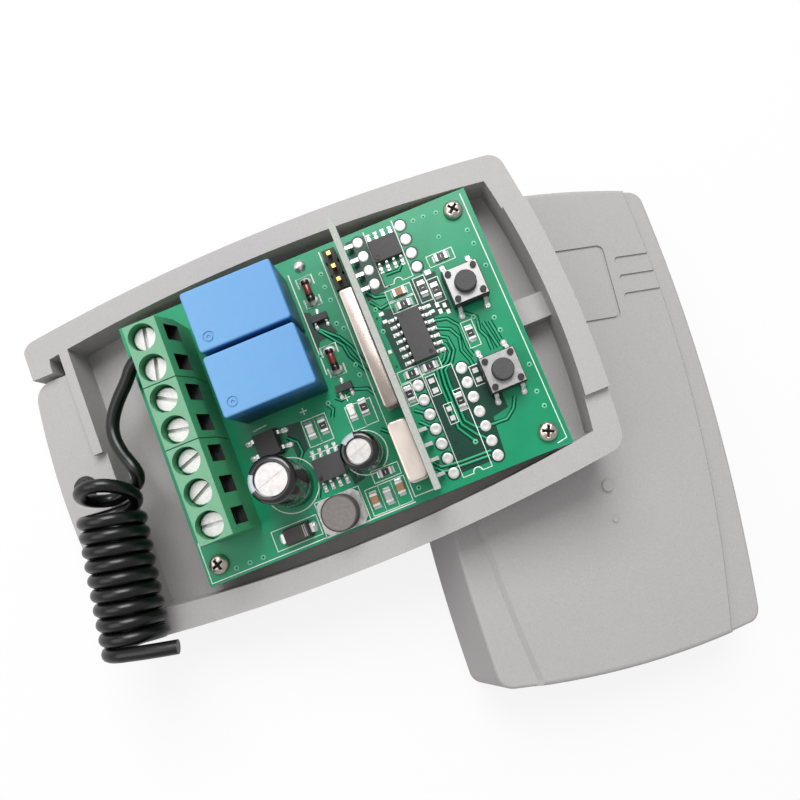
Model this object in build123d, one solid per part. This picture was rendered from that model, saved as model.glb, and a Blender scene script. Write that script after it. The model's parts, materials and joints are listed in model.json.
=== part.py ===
from build123d import *
import os
from math import atan2, cos, degrees, pi, radians, sin, tan

# Two-channel radio relay receiver with its lid off, in millimetres.
# The tray lies tilted: its cable end stands on the table and its underside leans on the
# loose cover. A black wire antenna, wound into a coil, lies across the tray's cable end.
#
# Tray frame: X along the tray with the cable end at -X, Y across, Z up from the underside.
# Board places are counted from the board's corner at -X -Y, heights from its top face.

# Board
board_length = 62.6
board_width = 45.74
board_thick = 1.6

# Shell outline, shared by the tray and the cover
cable_bay = 16.5         # the shell's cable end to the board
far_room = 3.5           # the board to the far wall, at the corners
side_room = -0.37        # the board to the side walls at the corners, which bulge past it
tray_wall = 3.8
corner_x = (cable_bay + board_length + far_room + tray_wall) / 2     # middle to the line through two corners
corner_y = board_width / 2 + side_room + tray_wall
side_bow = 2.9           # how far each long side bulges past its corners
end_bow = 2.0
corner_round = 2.8

# Tray
board_x = cable_bay - corner_x
tray_floor = 2.0
rim_z = 9.0
lip_rise = 1.2           # raised middle of the far end's wall, which the cover drops over
lip_half = 16.85
rib_x = corner_x - 7.2   # inner face of the cross rib at the cable end
rib_thick = 1.6
cable_gap_half = 4.4
pocket_depth = 2.0       # slot behind the rib, for the cover's catches
ear_gap_half = corner_y - 6.2    # the two ears end here, the shelf lies between them
shelf_gap = 0.7
shelf_half = ear_gap_half - shelf_gap
shelf_reach = corner_x + 0.8
shelf_bow = 1.4
shelf_z = 7.5
shelf_wall = 2.2
ear_round = 1.2
shelf_round = 3.2
wall_hole_r = 2.1
wall_hole_x = corner_x - 1.9
wall_boss_r = 3.8
tongue_half = 2.2        # rounded ledge on the middle of the far wall
tongue_z = 6.2
tongue_reach = 6.5

# Cover
cover_height = 14.5      # to the two side bands
panel_rise = 1.0         # the middle panel stands above the bands
panel_step = 0.8         # and rises over this width
cover_wall = 2.0
cover_draft = 5.0        # degrees
panel_half_cable = 21.6
panel_half_middle = 24.2
panel_half_far = 18.8
panel_widest = -5.0
edge_round = 0.9
band_round = 0.6
lip_clearance = 0.2
outlet_half = 17.5       # cable outlet in the cover's end wall
outlet_height = 5.0
latch_half = (5.2, 7.2)  # the outlined field on the panel: across, along
latch_at = (-24.3, 8.0)
grip_size = (8.8, 1.6)
grip_pitch = 3.65
grip_at = (-24.5, 19.6)
groove = 0.35
groove_width = 0.6
pips = ((13.0, 1.8, 1.05), (19.0, 1.8, 0.55))   # along, across, radius

# How the two lie on the table
cover_turn = -99.9       # degrees about Z, the cover's cable end to the back
cover_offset = -19.6     # the cover's middle, in front of the tray's middle line
cover_distance = 85.8    # the tray's foot edge to the cover's middle
lean_clearance = 0.15

# Posts and screws under the board
post_height = 5.2
post_r = 2.9
screw_inset = (2.6, 3.15, 3.0)   # cable end, far end, both sides
screw_shank_r = 1.1
screw_head_r = 2.15
screw_head = 1.3
screw_length = 6.0
thread_fit = 0.05

# Screw terminals: three blocks in a row, a screw and a rising clamp in each pole
pole_pitch = 5.0
pole_counts = (2, 2, 3)
pole_x = 7.2
first_pole_y = board_width - 7.01
term_height = 12.0
term_front = 3.6         # pole axis to the wire side, at the board
term_back = 4.0
term_front_top = 2.4
term_back_top = 2.8
term_shoulder = 8.2      # where the slopes start
term_joint = 0.15        # gap between two blocks
chamber = (4.8, 4.0)     # along the wire, across
chamber_top = 8.1
chamber_bottom = 1.0
entry = (3.2, 3.8)       # wire entry: width, height
window = (2.6, 2.0)      # back window: width, height
window_z = 9.3
tscrew_head_r = 1.95
tscrew_head = 1.6
tscrew_top = 10.4
tscrew_shank_r = 1.1
tscrew_slot = (0.6, 0.8)
tscrew_fit = 0.08
clamp_size = (3.4, 3.7, 4.4)
clamp_wall = 0.55
clamp_cap = 1.0
clamp_rest = 1.2         # height of its underside with the screw backed out
clamp_travel = 2.0
strip_thick = 0.55       # the fixed contact that the clamp pulls the wire against
strip_width = 2.0
pin_drop = 2.2           # how far solder pins stand out below the board

# Relays
relay_size = (14.8, 9.85, 11.55)
relay_x = 21.87
relay_y = (board_width - 7.75, board_width - 18.35)
relay_wall = 0.6
relay_base = 1.4
relay_fit = 0.05
pip_r = 0.9
winding_r = 2.9
bobbin_r = 3.7
core_r = 1.2
armature_thick = 0.7
armature_gap = 0.35
yoke_thick = 0.9
coil_x = 1.6             # the coil's axis and the armature's pivot, from the relay's middle
core_top = 7.4
pivot_x = 5.7

# Radio module standing on edge, with its pins, can and crystal
module_x = 39.4
module_thick = 1.0
module_y = (1.2, board_width - 0.84)
module_height = 12.0
module_lift = 0.3
module_pin_y = (3.1, board_width - 2.54)     # first pin of the two rows of four, counted inwards
lead_pitch = 2.54
can_size = (2.0, 18.6, 8.6)
can_y = 24.4
crystal_size = (2.6, 8.8, 7.6)
crystal_y = 8.4
header_size = (2.2, 7.0, 2.5)
header_at = (37.7, board_width - 5.34)
header_pitch = 2.3

# Push switches
switch_side = 6.0
switch_at = ((board_length - 6.3, 29.9), (board_length - 6.3, 14.6))
switch_height = 3.1
plate_thick = 0.3
button_r = 1.75
button_rise = 1.2
button_travel = 0.25
button_fit = 0.06
stud_r = 0.5

# Round capacitors, coil and small parts
big_cap = (18.0, 10.4, 4.0, 11.6)        # x, y, radius, height
small_cap = (31.1, 10.8, 3.15, 7.2)
choke_at = (24.2, 3.35)
choke_base = (7.4, 5.9)
choke_r = 2.9
choke_height = 4.4
solder_at = (32.2, board_width - 1.84)
bridge_at = (17.0, 17.9)
bridge_size = (4.0, 4.4, 2.3)

# Antenna wire
wire_d = 1.9
core_wire_r = 0.45
coil_r = 4.3
coil_pitch = 2.36
coil_turns = 10          # from the underside of the first to the top of the last
coil_gap = 0.25          # under the coil, over the rim that carries it
coil_first = (-9.15, 19.6)       # middle of the coil's first turn, in board places
coil_heading = 262.2     # degrees, the way that the turns advance
loose_reach = 3.6        # how far the first turn swings out of the row
tail = 4.6
inlet_side = 3.7         # where the lead reaches the coil, from the start of the first turn
inlet_back = 2.5

board_top = tray_floor + post_height + board_thick
button_top = switch_height + plate_thick + button_rise


def board_point(x, y, z=0):
    """A place on the board, in the tray frame."""
    return Vector(board_x + x, y - board_width / 2, board_top + z)


def on_board(shape, x, y, turn=0, z=0):
    return Location(board_point(x, y, z), (0, 0, turn)) * shape


def block(x, y, z, low=0):
    """A box centred on the Z axis that starts at height low."""
    return Pos(0, 0, low + z / 2) * Box(x, y, z)


def disc(r, height, low=0):
    return Pos(0, 0, low + height / 2) * Cylinder(r, height)


def shell_face(inset=0.0, rounding=corner_round):
    """The bowed outline of the shell, drawn in by inset."""
    x = corner_x - inset
    y = corner_y - inset
    outline = ThreePointArc((-x, -y), (0, -y - side_bow), (x, -y))
    outline += ThreePointArc((x, -y), (x + end_bow, 0), (x, y))
    outline += ThreePointArc((x, y), (0, y + side_bow), (-x, y))
    outline += ThreePointArc((-x, y), (-x - end_bow, 0), (-x, -y))
    face = make_face(outline)
    if rounding > 0:
        face = fillet(face.vertices(), rounding)
    return face


def side_y(x, inset=0.0):
    """Half the width of the outline at x, on the circle of its long side."""
    half = corner_x - inset
    radius = (half ** 2 + side_bow ** 2) / (2 * side_bow)
    return corner_y - inset + side_bow - radius + (radius ** 2 - x ** 2) ** 0.5


rib_out = rib_x + rib_thick
beyond = 2 * corner_x        # longer and wider than the shell, for cutting


def shelf_face(inset=0.0):
    reach = shelf_reach - inset
    half = shelf_half - inset
    outline = Polyline((-rib_out, half), (-reach, half))
    outline += ThreePointArc((-reach, half), (-reach - shelf_bow, 0), (-reach, -half))
    outline += Polyline((-reach, -half), (-rib_out, -half), (-rib_out, half))
    face = make_face(outline)
    outer = [v for v in face.vertices() if v.X < -rib_out - 1]
    return fillet(outer, shelf_round - inset)


def board_screws_at():
    near, far, side = screw_inset
    corners = ((near, side), (board_length - far, side))
    corners += ((board_length - far, board_width - side), (near, board_width - side))
    return corners


def base_tray():
    cable_end = Pos(-corner_x - beyond / 2, 0, 0) * block(beyond, beyond, beyond)
    tray = extrude(shell_face(), rim_z) - cable_end
    tray = fillet([e for e in tray.edges().filter_by(Axis.Z) if e.center().X < -corner_x + 0.1], ear_round)
    inside = extrude(shell_face(tray_wall, 0), rim_z)
    deep = Pos(0, 0, tray_floor) * inside
    tray -= deep - Pos(-rib_x - beyond / 2, 0, 0) * block(beyond, beyond, beyond)
    slot_x = -rib_out - pocket_depth / 2
    slot = deep & Pos(slot_x, 0, 0) * block(pocket_depth, beyond, beyond)
    tray -= slot
    tray -= Pos(-rib_out - beyond / 2, 0, 0) * block(beyond, 2 * ear_gap_half, beyond)
    lip_band = Pos(corner_x, 0, rim_z + lip_rise / 2) * Box(20, 2 * lip_half, lip_rise)
    tray += lip_band & Pos(0, 0, rim_z) * extrude(shell_face() - shell_face(tray_wall, 0), lip_rise)
    shelf = extrude(shelf_face(), shelf_z)
    shelf -= extrude(shelf_face(shelf_wall), shelf_z - shelf_wall)
    shelf += Pos(-wall_hole_x, 0, 0) * disc(wall_boss_r, shelf_z)
    shelf = shelf & extrude(shelf_face(), shelf_z)
    tray += shelf
    tray -= Pos(-wall_hole_x, 0, 0) * disc(wall_hole_r, shelf_z)
    tray -= Pos(-rib_x - rib_thick / 2, 0, 0) * block(3 * rib_thick, 2 * cable_gap_half, rim_z, shelf_z)
    tongue_root = corner_x + end_bow - tray_wall / 2
    tongue = Pos(tongue_root - tongue_reach / 2, 0, 0) * block(tongue_reach, 2 * tongue_half, tongue_z)
    tongue += Pos(tongue_root - tongue_reach, 0, 0) * disc(tongue_half, tongue_z)
    tray += tongue
    for x, y in board_screws_at():
        place = board_point(x, y)
        tray += Pos(place.X, place.Y, 0) * disc(post_r, post_height, tray_floor)
        pilot = disc(screw_shank_r + thread_fit, board_top, tray_floor - 0.6)
        tray -= Pos(place.X, place.Y, 0) * pilot
    return tray


def panel_face(grow=0.0):
    """The raised middle panel: two bowed sides, drawn in more at the far end."""
    near = -corner_x + 1.4
    far = corner_x - 1.4
    past = corner_x + 6
    cable_y = panel_half_cable + grow
    middle_y = panel_half_middle + grow
    far_y = panel_half_far + grow
    outline = Polyline((near, cable_y), (-past, cable_y), (-past, -cable_y), (near, -cable_y))
    outline += ThreePointArc((near, -cable_y), (panel_widest, -middle_y), (far, -far_y))
    outline += Polyline((far, -far_y), (past, -far_y), (past, far_y), (far, far_y))
    outline += ThreePointArc((far, far_y), (panel_widest, middle_y), (near, cable_y))
    return make_face(outline)


def drafted_shell(height, inset, rounding):
    """The outline raised to a height with the walls' draft."""
    top = shell_face(inset + height * tan(radians(cover_draft)), rounding)
    return loft([shell_face(inset, rounding), Pos(0, 0, height) * top], ruled=True)


def cover():
    full = cover_height + panel_rise
    body = drafted_shell(full, 0, corner_round)
    body = fillet([e for e in body.edges() if abs(e.center().Z - full) < 0.01], edge_round)
    step_top = Pos(0, 0, full) * panel_face(-panel_step)
    panel = loft([Pos(0, 0, cover_height) * panel_face(), step_top], ruled=True)
    body -= block(4 * corner_x, 4 * corner_y, 2 * panel_rise, cover_height) - panel
    band_edges = [e for e in body.edges() if abs(e.center().Z - cover_height) < 0.01]
    outer_edges = [e for e in band_edges if abs(e.center().Y) > corner_y - 1 and e.length > corner_x]
    body = fillet(outer_edges, band_round)
    body -= drafted_shell(cover_height - cover_wall, cover_wall, 1.0)
    body -= Pos(corner_x, 0, 0) * block(20, 2 * (lip_half + lip_clearance), lip_rise + lip_clearance)
    body -= Pos(-corner_x, 0, 0) * block(20, 2 * outlet_half, outlet_height)
    field = Rectangle(2 * latch_half[1], 2 * latch_half[0])
    field = fillet(field.vertices(), 1.0)
    ring = offset(field, groove_width / 2) - offset(field, -groove_width / 2)
    body -= Pos(latch_at[0], latch_at[1], full - groove) * extrude(ring, 2 * groove)
    for i in range(3):
        bar = SlotOverall(grip_size[0], grip_size[1], rotation=90)
        place = Pos(grip_at[0] + (i - 1) * grip_pitch, grip_at[1], full - groove)
        body -= place * extrude(bar, 2 * groove)
    for along, across_at, r in pips:
        body += Pos(along, across_at, full - 0.1) * disc(r, 0.1 + 0.45 * r)
    return body


def pole_y(i):
    return first_pole_y - i * pole_pitch


relay_pins = ((-5.9, -3.6), (-5.9, 3.6), (5.9, -3.6), (5.9, 3.6), (5.9, 0))


def module_pin_places():
    low, high = module_pin_y
    places = [low + i * lead_pitch for i in range(4)]
    places += [high - i * lead_pitch for i in range(4)]
    return places


def solder_dome():
    return Pos(0, 0, -0.5) * Sphere(1.25) & block(4, 4, 2)


def circuit_board():
    board = block(board_length, board_width, board_thick, -board_thick)
    board = Location(board_point(board_length / 2, board_width / 2)) * board
    holes = [(x, y, screw_shank_r + 0.25) for x, y in board_screws_at()]
    holes += [(pole_x + chamber[0] / 2, pole_y(i), 0.75) for i in range(sum(pole_counts))]
    for y in relay_y:
        holes += [(relay_x + px, y + py, 0.6) for px, py in relay_pins]
    for x, y, r in holes:
        board -= on_board(disc(r, 4, -3), x, y)
    return board + on_board(solder_dome(), *solder_at)


def board_screw():
    head = disc(screw_head_r, screw_head)
    head = fillet(head.edges().group_by(Axis.Z)[-1], 0.7)
    cross = block(2.4, 0.5, 1.0, screw_head - 0.8) + block(0.5, 2.4, 1.0, screw_head - 0.8)
    shank = disc(screw_shank_r, screw_length, -screw_length)
    return head - cross + shank


def terminal_profile():
    pts = ((-term_front, 0), (-term_front, term_shoulder), (-term_front_top, term_height))
    pts += ((term_back_top, term_height), (term_back, term_shoulder - 1.2), (term_back, 0))
    return make_face(Polyline(*pts, close=True))


def terminal_block(count):
    """Blocks are built about their first pole's axis, with more poles towards -Y."""
    length = count * pole_pitch - term_joint
    body = extrude(Plane.XZ * terminal_profile(), length)
    body = Pos(0, (pole_pitch - term_joint) / 2, 0) * body
    head_bore = tscrew_head_r + tscrew_fit + 0.1
    for i in range(count):
        pole = block(*chamber, chamber_top - chamber_bottom, chamber_bottom)
        pole += disc(tscrew_shank_r + tscrew_fit, term_height)
        pole += disc(head_bore, term_height, tscrew_top - tscrew_head - tscrew_fit)
        pole += Pos(-term_front, 0, clamp_rest + 0.4) * block(2.8, *entry)
        pole += Pos(term_back - 0.4, 0, window_z) * Box(3.2, *window)
        pole += Pos(chamber[0] / 2, 0, 0) * block(0.9, 0.9, chamber_bottom + 0.6, -0.1)
        body -= Pos(0, -i * pole_pitch, 0) * pole
    return body


def terminal_contact():
    """A strip through the clamp, bent down at the back into the solder pin."""
    strip_z = clamp_rest + clamp_wall + clamp_travel + 0.05
    back = chamber[0] / 2 - 0.05
    strip = block(2 * back, strip_width, strip_thick, strip_z)
    leg_low = chamber_bottom + 0.2
    leg = Pos(back - 0.3, 0, 0) * block(0.6, strip_width, strip_z + strip_thick - leg_low, leg_low)
    pin_low = -board_thick - pin_drop
    pin = Pos(back, 0, 0) * block(0.7, 0.7, leg_low + 0.1 - pin_low, pin_low)
    return strip + leg + pin


def terminal_screw():
    head_low = tscrew_top - tscrew_head
    tip = clamp_rest + clamp_size[2] - clamp_cap + 0.05
    screw = disc(tscrew_head_r, tscrew_head, head_low)
    screw += disc(tscrew_shank_r, head_low - tip, tip)
    screw = chamfer(screw.edges().group_by(Axis.Z)[-1], 0.2)
    screw -= block(tscrew_slot[0], 3 * tscrew_head_r, 2, tscrew_top - tscrew_slot[1])
    return screw


def wire_clamp():
    x, y, z = clamp_size
    ring = block(x, y, z) - block(2 * x, y - 2 * clamp_wall, z - clamp_wall - clamp_cap, clamp_wall)
    ring -= disc(tscrew_shank_r + tscrew_fit, z, z - clamp_cap - 0.1)
    return Pos(0, 0, clamp_rest) * ring


def relay_case():
    x, y, z = relay_size
    outer = fillet(block(x, y, z).edges().filter_by(Axis.Z), 0.5)
    outer = fillet(outer.faces().sort_by(Axis.Z)[-1].edges(), 0.35)
    case = outer - block(x - 2 * relay_wall, y - 2 * relay_wall, z - relay_wall)
    ring = disc(pip_r, 1) - disc(pip_r - 0.3, 1) + disc(0.3, 1)
    return case - Pos(-x / 2 + 2.1, -y / 2 + 1.9, z - 0.15) * ring


def relay_base_plate():
    x, y, z = relay_size
    inner = relay_wall + relay_fit
    base = block(x - 2 * inner, y - 2 * inner, relay_base, 0.1)
    for px, py in relay_pins:
        base += Pos(px, py, 0) * disc(0.45, 0.2 + board_thick + pin_drop, -board_thick - pin_drop)
    return base


def relay_coil():
    """Bobbin, winding and core on an L-shaped yoke that carries the armature's pivot."""
    low = relay_base + 0.1
    part = block(2 * bobbin_r, 2 * bobbin_r, 0.8, low)
    part += disc(winding_r, core_top - low - 0.6, low)
    part += disc(bobbin_r, 0.7, core_top - 1.0)
    part += disc(core_r, 0.4, core_top - 0.4)
    part = Pos(coil_x, 0, 0) * part
    yoke_high = core_top + armature_gap
    part += Pos(pivot_x, 0, 0) * block(yoke_thick, 6.0, yoke_high - low - 0.1, low)
    part += Pos((coil_x + pivot_x) / 2, 0, 0) * block(pivot_x - coil_x, 4.0, 0.6, low)
    return part


def relay_armature():
    """Plate over the core with the moving contact at its free end."""
    low = core_top + armature_gap
    plate = Pos((pivot_x - 5.6) / 2, 0, 0) * block(pivot_x + 5.6, 5.4, armature_thick, low)
    contact = Pos(-4.6, 0, 0) * disc(0.7, 0.4, low - 0.35)
    return plate + contact


def relay_contacts():
    """Fixed contact posts at the free end of the armature."""
    tip = core_top + armature_gap - 0.35 - armature_gap - 0.15
    low = relay_base + 0.1
    post = Pos(-5.6, 0, 0) * block(0.5, 3.0, tip - low, low)
    arm = Pos(-5.0, 0, 0) * block(1.6, 1.6, 0.4, tip - 0.4)
    return post + arm


def module_board():
    low, high = module_y
    card = block(module_thick, high - low, module_height - module_lift, module_lift)
    return Pos(module_x + module_thick / 2, (low + high) / 2, 0) * card


def module_pins():
    """Bent pins: soldered on the module's far face, turned down through the board."""
    reach = 1.1
    pins = Part()
    for y in module_pin_places():
        pin = Pos(module_thick / 2 + reach / 2, 0, 1.4) * Box(reach, 0.6, 0.5)
        pin += Pos(module_thick / 2 + reach, 0, 0) * block(0.5, 0.6, 1.65)
        pins += Pos(module_x + module_thick / 2, y, 0) * pin
    return pins


def module_can():
    x, y, z = can_size
    can = Pos(module_x - x / 2, can_y, module_height - z) * block(x, y, z)
    return fillet(can.edges().filter_by(Axis.X), 0.4)


def crystal_can():
    x, y, z = crystal_size
    can = block(x, y, z)
    can = fillet(can.edges().filter_by(Axis.Z), 1.2)
    can = fillet(can.edges().group_by(Axis.Z)[-1], 0.35)
    flange = fillet(block(x + 0.5, y + 0.6, 0.4).edges().filter_by(Axis.Z), 1.4)
    return Pos(module_x - x / 2 - 0.3, crystal_y, 1.2) * (can + flange)


def crystal_foot():
    x, y, z = crystal_size
    return Pos(module_x - x / 2 - 0.3, crystal_y, 0) * block(x, y - 0.4, 1.2)


def pin_header():
    """Three-way housing with notched corners between the ways."""
    x, y, z = header_size
    body = block(x, y, z)
    for i in (-1, 0, 1):
        body -= Pos(0, i * header_pitch, 0) * block(0.68, 0.68, 2 * z, -0.5)
    for i in (-0.5, 0.5):
        for side in (-1, 1):
            body -= Pos(side * x / 2, i * header_pitch, 0) * block(0.5, 0.6, 2 * z, -1)
    return body


def header_pins():
    z = header_size[2]
    pins = Part()
    for i in (-1, 0, 1):
        pins += Pos(0, i * header_pitch, 0) * block(0.64, 0.64, z + 1.6)
    return pins


def switch_body():
    side = switch_side
    body = block(side, side, switch_height - 0.3, 0.3)
    body -= disc(button_r + 0.25, 3, switch_height - 2.2)
    for sx in (-1, 1):
        for sy in (-1, 1):
            body += Pos(sx * 2.15, sy * 2.15, 0) * disc(stud_r, plate_thick + 0.35, switch_height)
    return body


def switch_legs():
    legs = Part()
    pts = ((0, 1.6), (0.55, 1.6), (0.9, 0.35), (1.6, 0.35), (1.6, 0), (0.65, 0), (0.3, 1.3), (0, 1.3))
    leg = extrude(Plane.YZ * make_face(Polyline(*pts, close=True)), 0.35, both=True)
    for sx in (-1, 1):
        for turn in (0, 180):
            legs += Rot(0, 0, turn) * Pos(sx * 2.25, switch_side / 2, 0) * leg
    return legs


def switch_plate():
    plate = block(switch_side - 0.3, switch_side - 0.3, plate_thick, switch_height)
    plate -= disc(button_r + button_fit, 2, switch_height - 0.5)
    for sx in (-1, 1):
        for sy in (-1, 1):
            plate -= Pos(sx * 2.15, sy * 2.15, 0) * disc(stud_r + 0.02, 2, switch_height - 0.5)
    return plate


def switch_button():
    foot_low = switch_height - 2.2 + button_travel + 0.05
    button = disc(button_r, button_top - foot_low, foot_low)
    return fillet(button.edges().group_by(Axis.Z)[-1], 0.25)


def can_capacitor(r, height):
    """Sleeve with its rolled groove near the foot, and the scored metal top inside it."""
    half = Polyline((0, 0), (r, 0), (r, 0.9), (r - 0.3, 1.4), (r, 1.9), (r, height - 0.5))
    half += ThreePointArc((r, height - 0.5), (r - 0.15, height - 0.15), (r - 0.5, height))
    half += Polyline((r - 0.5, height), (r - 0.9, height), (r - 0.9, height - 0.25),
                     (0, height - 0.25), (0, 0))
    body = revolve(Plane.XZ * make_face(half), Axis.Z)
    score = block(1.3 * r, 0.25, 1, height - 0.4)
    return body - score - Rot(0, 0, 90) * score


def power_choke():
    """Ferrite drum on a square base with two metal end terminals."""
    base = chamfer(block(*choke_base, 1.0).edges().filter_by(Axis.Z), 0.9)
    drum = disc(choke_r, 0.9, 1.0) + disc(choke_r - 0.7, choke_height - 1.8, 1.5)
    drum += fillet(disc(choke_r, 1.1, choke_height - 1.1).edges().group_by(Axis.Z)[-1], 0.25)
    return base + drum


def gull_chip(length, width, height, count, pitch):
    """Moulded body along Y with count gull-wing pins on each long side."""
    lift = 0.15
    half = (height - lift) / 2
    body = Pos(0, 0, lift + half) * extrude(Rectangle(width, length), half, taper=7)
    body += Pos(0, 0, lift + half) * Rot(180, 0, 0) * extrude(Rectangle(width, length), half, taper=7)
    body -= Pos(-width / 2 + 0.8, length / 2 - 0.8, height - 0.08) * disc(0.3, 1)
    edge = width / 2
    mid = lift + half
    pts = ((edge - 0.1, mid + 0.1), (edge + 0.35, mid + 0.1), (edge + 0.6, 0.2), (edge + 1.05, 0.2))
    pts += ((edge + 1.05, 0), (edge + 0.45, 0), (edge + 0.2, mid - 0.1), (edge - 0.1, mid - 0.1))
    pin = extrude(Plane.XZ * make_face(Polyline(*pts, close=True)), 0.2, both=True)
    for i in range(count):
        y = (i - (count - 1) / 2) * pitch
        for turn in (0, 180):
            body += Rot(0, 0, turn) * Pos(0, y, 0) * pin
    return body


def bridge_rectifier():
    """Moulded body with two bent leads on each side, along X."""
    body = Pos(0, 0, 0.1) * extrude(Rectangle(*bridge_size[:2]), bridge_size[2], taper=6)
    edge = bridge_size[0] / 2
    pts = ((edge - 0.3, 1.3), (edge + 0.4, 1.3), (edge + 0.7, 0.3), (edge + 1.5, 0.3))
    pts += ((edge + 1.5, 0), (edge + 0.5, 0), (edge + 0.2, 1.0), (edge - 0.3, 1.0))
    lead = extrude(Plane.XZ * make_face(Polyline(*pts, close=True)), 0.32, both=True)
    for turn in (0, 180):
        for y in (-lead_pitch / 2, lead_pitch / 2):
            body += Rot(0, 0, turn) * Pos(0, y, 0) * lead
    return body


def power_diode():
    body = Pos(0, 0, 0.1) * extrude(Rectangle(4.4, 2.7), 2.1, taper=6)
    for side in (-1, 1):
        body += Pos(side * 2.3, 0, 0) * block(0.8, 1.5, 1.1)
    return body


def small_transistor():
    body = Pos(0, 0, 0.1) * extrude(Rectangle(1.5, 2.9), 1.0, taper=6)
    for x, y in ((-1.05, 0.95), (-1.05, -0.95), (1.05, 0)):
        body += Pos(x, y, 0) * block(0.7, 0.45, 0.5)
    return body


def glass_diode():
    """Glass body between two metal end caps, lying along Y."""
    body = Rot(90, 0, 0) * Cylinder(0.72, 2.0)
    for side in (-1, 1):
        body += Pos(0, side * 1.45, 0) * Rot(90, 0, 0) * Cylinder(0.8, 0.95)
    return Pos(0, 0, 0.82) * body


def chip(length, width, height):
    """Ceramic chip with its two raised end caps, lying along Y."""
    body = block(width - 0.06, length - 0.1, height - 0.05)
    for side in (-1, 1):
        body += Pos(0, side * (length / 2 - 0.2), 0) * block(width, 0.4, height)
    return body


def placed(shape, spots):
    """The same piece on several places: x, y and the turn in degrees."""
    group = Part()
    for x, y, turn in spots:
        group += on_board(shape, x, y, turn)
    return group


resistor_spots = ((46.0, 31.15, 90), (49.85, 32.4, 0), (51.75, 31.2, 0), (54.6, 36.2, 90), (54.2, 22.4, 90),
                  (42.9, 19.9, 0), (46.0, 19.9, 0), (41.3, 16.9, 0), (48.5, 12.8, 0), (33.0, 6.7, 0),
                  (33.6, 17.8, 0), (26.3, 17.5, 0))
capacitor_spots = ((46.0, 33.3, 90), (29.8, 3.2, 0), (34.3, 3.6, 0), (32.05, 3.0, 0))
led_spots = ((31.5, 17.75, 0), (24.1, 17.5, 0))
transistor_spots = ((32.2, 34.3, 0), (31.8, 22.0, 0))
glass_spots = ((32.15, 39.2, 0), (31.7, 26.9, 0))


def biarc(p, t, q, u):
    """Two tangent arcs from p heading t to q heading u."""
    v = q - p
    s = t + u
    a = s.dot(s) - 4
    b = -2 * v.dot(s)
    c = v.dot(v)
    d = -c / b if abs(a) < 1e-6 else (-b - (b * b - 4 * a * c) ** 0.5) / (2 * a)
    first = p + t * d
    second = q - u * d
    middle = (first + second) * 0.5
    heading = (second - first).normalized()
    return [TangentArc(p, middle, tangent=t), TangentArc(middle, q, tangent=heading)]


advance = Vector(cos(radians(coil_heading)), sin(radians(coil_heading)), 0)
across = Vector(-advance.Y, advance.X, 0)        # to the right, seen along the turns' advance
upward = Vector(0, 0, 1)
inlet_heading = Vector(0.44, -0.9, 0).normalized()
coil_axis_z = rim_z + coil_gap + wire_d / 2 + coil_r
coil_start = board_point(*coil_first)
coil_start = Vector(coil_start.X, coil_start.Y, coil_axis_z)


def coil_point(turns):
    """Middle of the wire, counted in turns from the coil's underside."""
    angle = 2 * pi * turns
    loose = sin(pi * turns) ** 2 if turns < 1 else 0.0
    middle = coil_start + advance * (coil_pitch * turns - loose_reach * loose)
    r = coil_r - 0.4 * loose
    return middle - across * (r * sin(angle)) - upward * (r * cos(angle))


def coil_inlet():
    """Where the lead, still heading along the tray's end, turns under the coil."""
    start = coil_point(0)
    return start + across * inlet_side - advance * inlet_back


def coil_tangent(turns):
    step = 0.002
    return (coil_point(turns + step) - coil_point(turns - step)).normalized()


def swept_wire(edges):
    path = Wire(edges)
    start = path.position_at(0)
    section = Plane(origin=start, z_dir=path.tangent_at(0)) * Circle(wire_d / 2)
    tube = sweep(section, path=path)
    share = tube.volume / (pi * wire_d ** 2 / 4 * path.length)
    print("wire length", round(path.length, 2), "volume over section x length", round(share, 4))
    return tube


def coil_steps():
    stops = [0.0, 0.125]
    while stops[-1] < coil_turns + 0.5 - 1e-6:
        stops.append(stops[-1] + (0.125 if stops[-1] < 1.2 else 0.25))
    return stops[:-1] + [coil_turns + 0.5]


def antenna_coil():
    stops = coil_steps()
    inlet = coil_inlet()
    edges = [Line(inlet - inlet_heading * wire_d, inlet)]
    edges += biarc(inlet, inlet_heading, coil_point(0), coil_tangent(0))
    for a, b in zip(stops, stops[1:]):
        edges += biarc(coil_point(a), coil_tangent(a), coil_point(b), coil_tangent(b))
    end = coil_point(stops[-1])
    edges.append(Line(end, end + coil_tangent(stops[-1]) * tail))
    return swept_wire(edges)


def least_coil_gap():
    """Least distance between the wire's surface and itself, from points on its middle."""
    steps = 40
    points = [coil_point(i / steps) for i in range(int((coil_turns + 0.5) * steps) + 1)]
    best = 1e9
    for i, p in enumerate(points):
        for q in points[i + steps // 2:]:
            best = min(best, (p - q).length)
    return best - wire_d


wire_height = clamp_rest + clamp_wall + clamp_travel - core_wire_r
lead_exit = board_point(pole_x - term_front + 1.0, pole_y(0), wire_height)
lead_route = ((1.5, 38.72, 3.3), (-1.4, 36.1, 2.4), (-4.2, 33.6, 1.2), (-6.4, 31.2, 0.4), (-7.6, 28.6, 0.6))


def lead_points():
    """Route of the lead from the first pole to the underside of the coil, in the tray frame."""
    end = coil_inlet() - inlet_heading * wire_d
    return [lead_exit] + [board_point(*spot) for spot in lead_route] + [end - inlet_heading * 3.0, end]


def antenna_lead():
    points = lead_points()
    radii = []
    for a, b, c in zip(points, points[1:], points[2:]):
        half_turn = radians((b - a).get_angle(c - b)) / 2
        radii.append(0.45 * min((b - a).length, (c - b).length) / tan(half_turn))
    print("lead runs", [round((b - a).length, 1) for a, b in zip(points, points[1:])])
    print("lead radii", [round(r, 1) for r in radii])
    return swept_wire(FilletPolyline(*points, radius=radii).edges())


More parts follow.
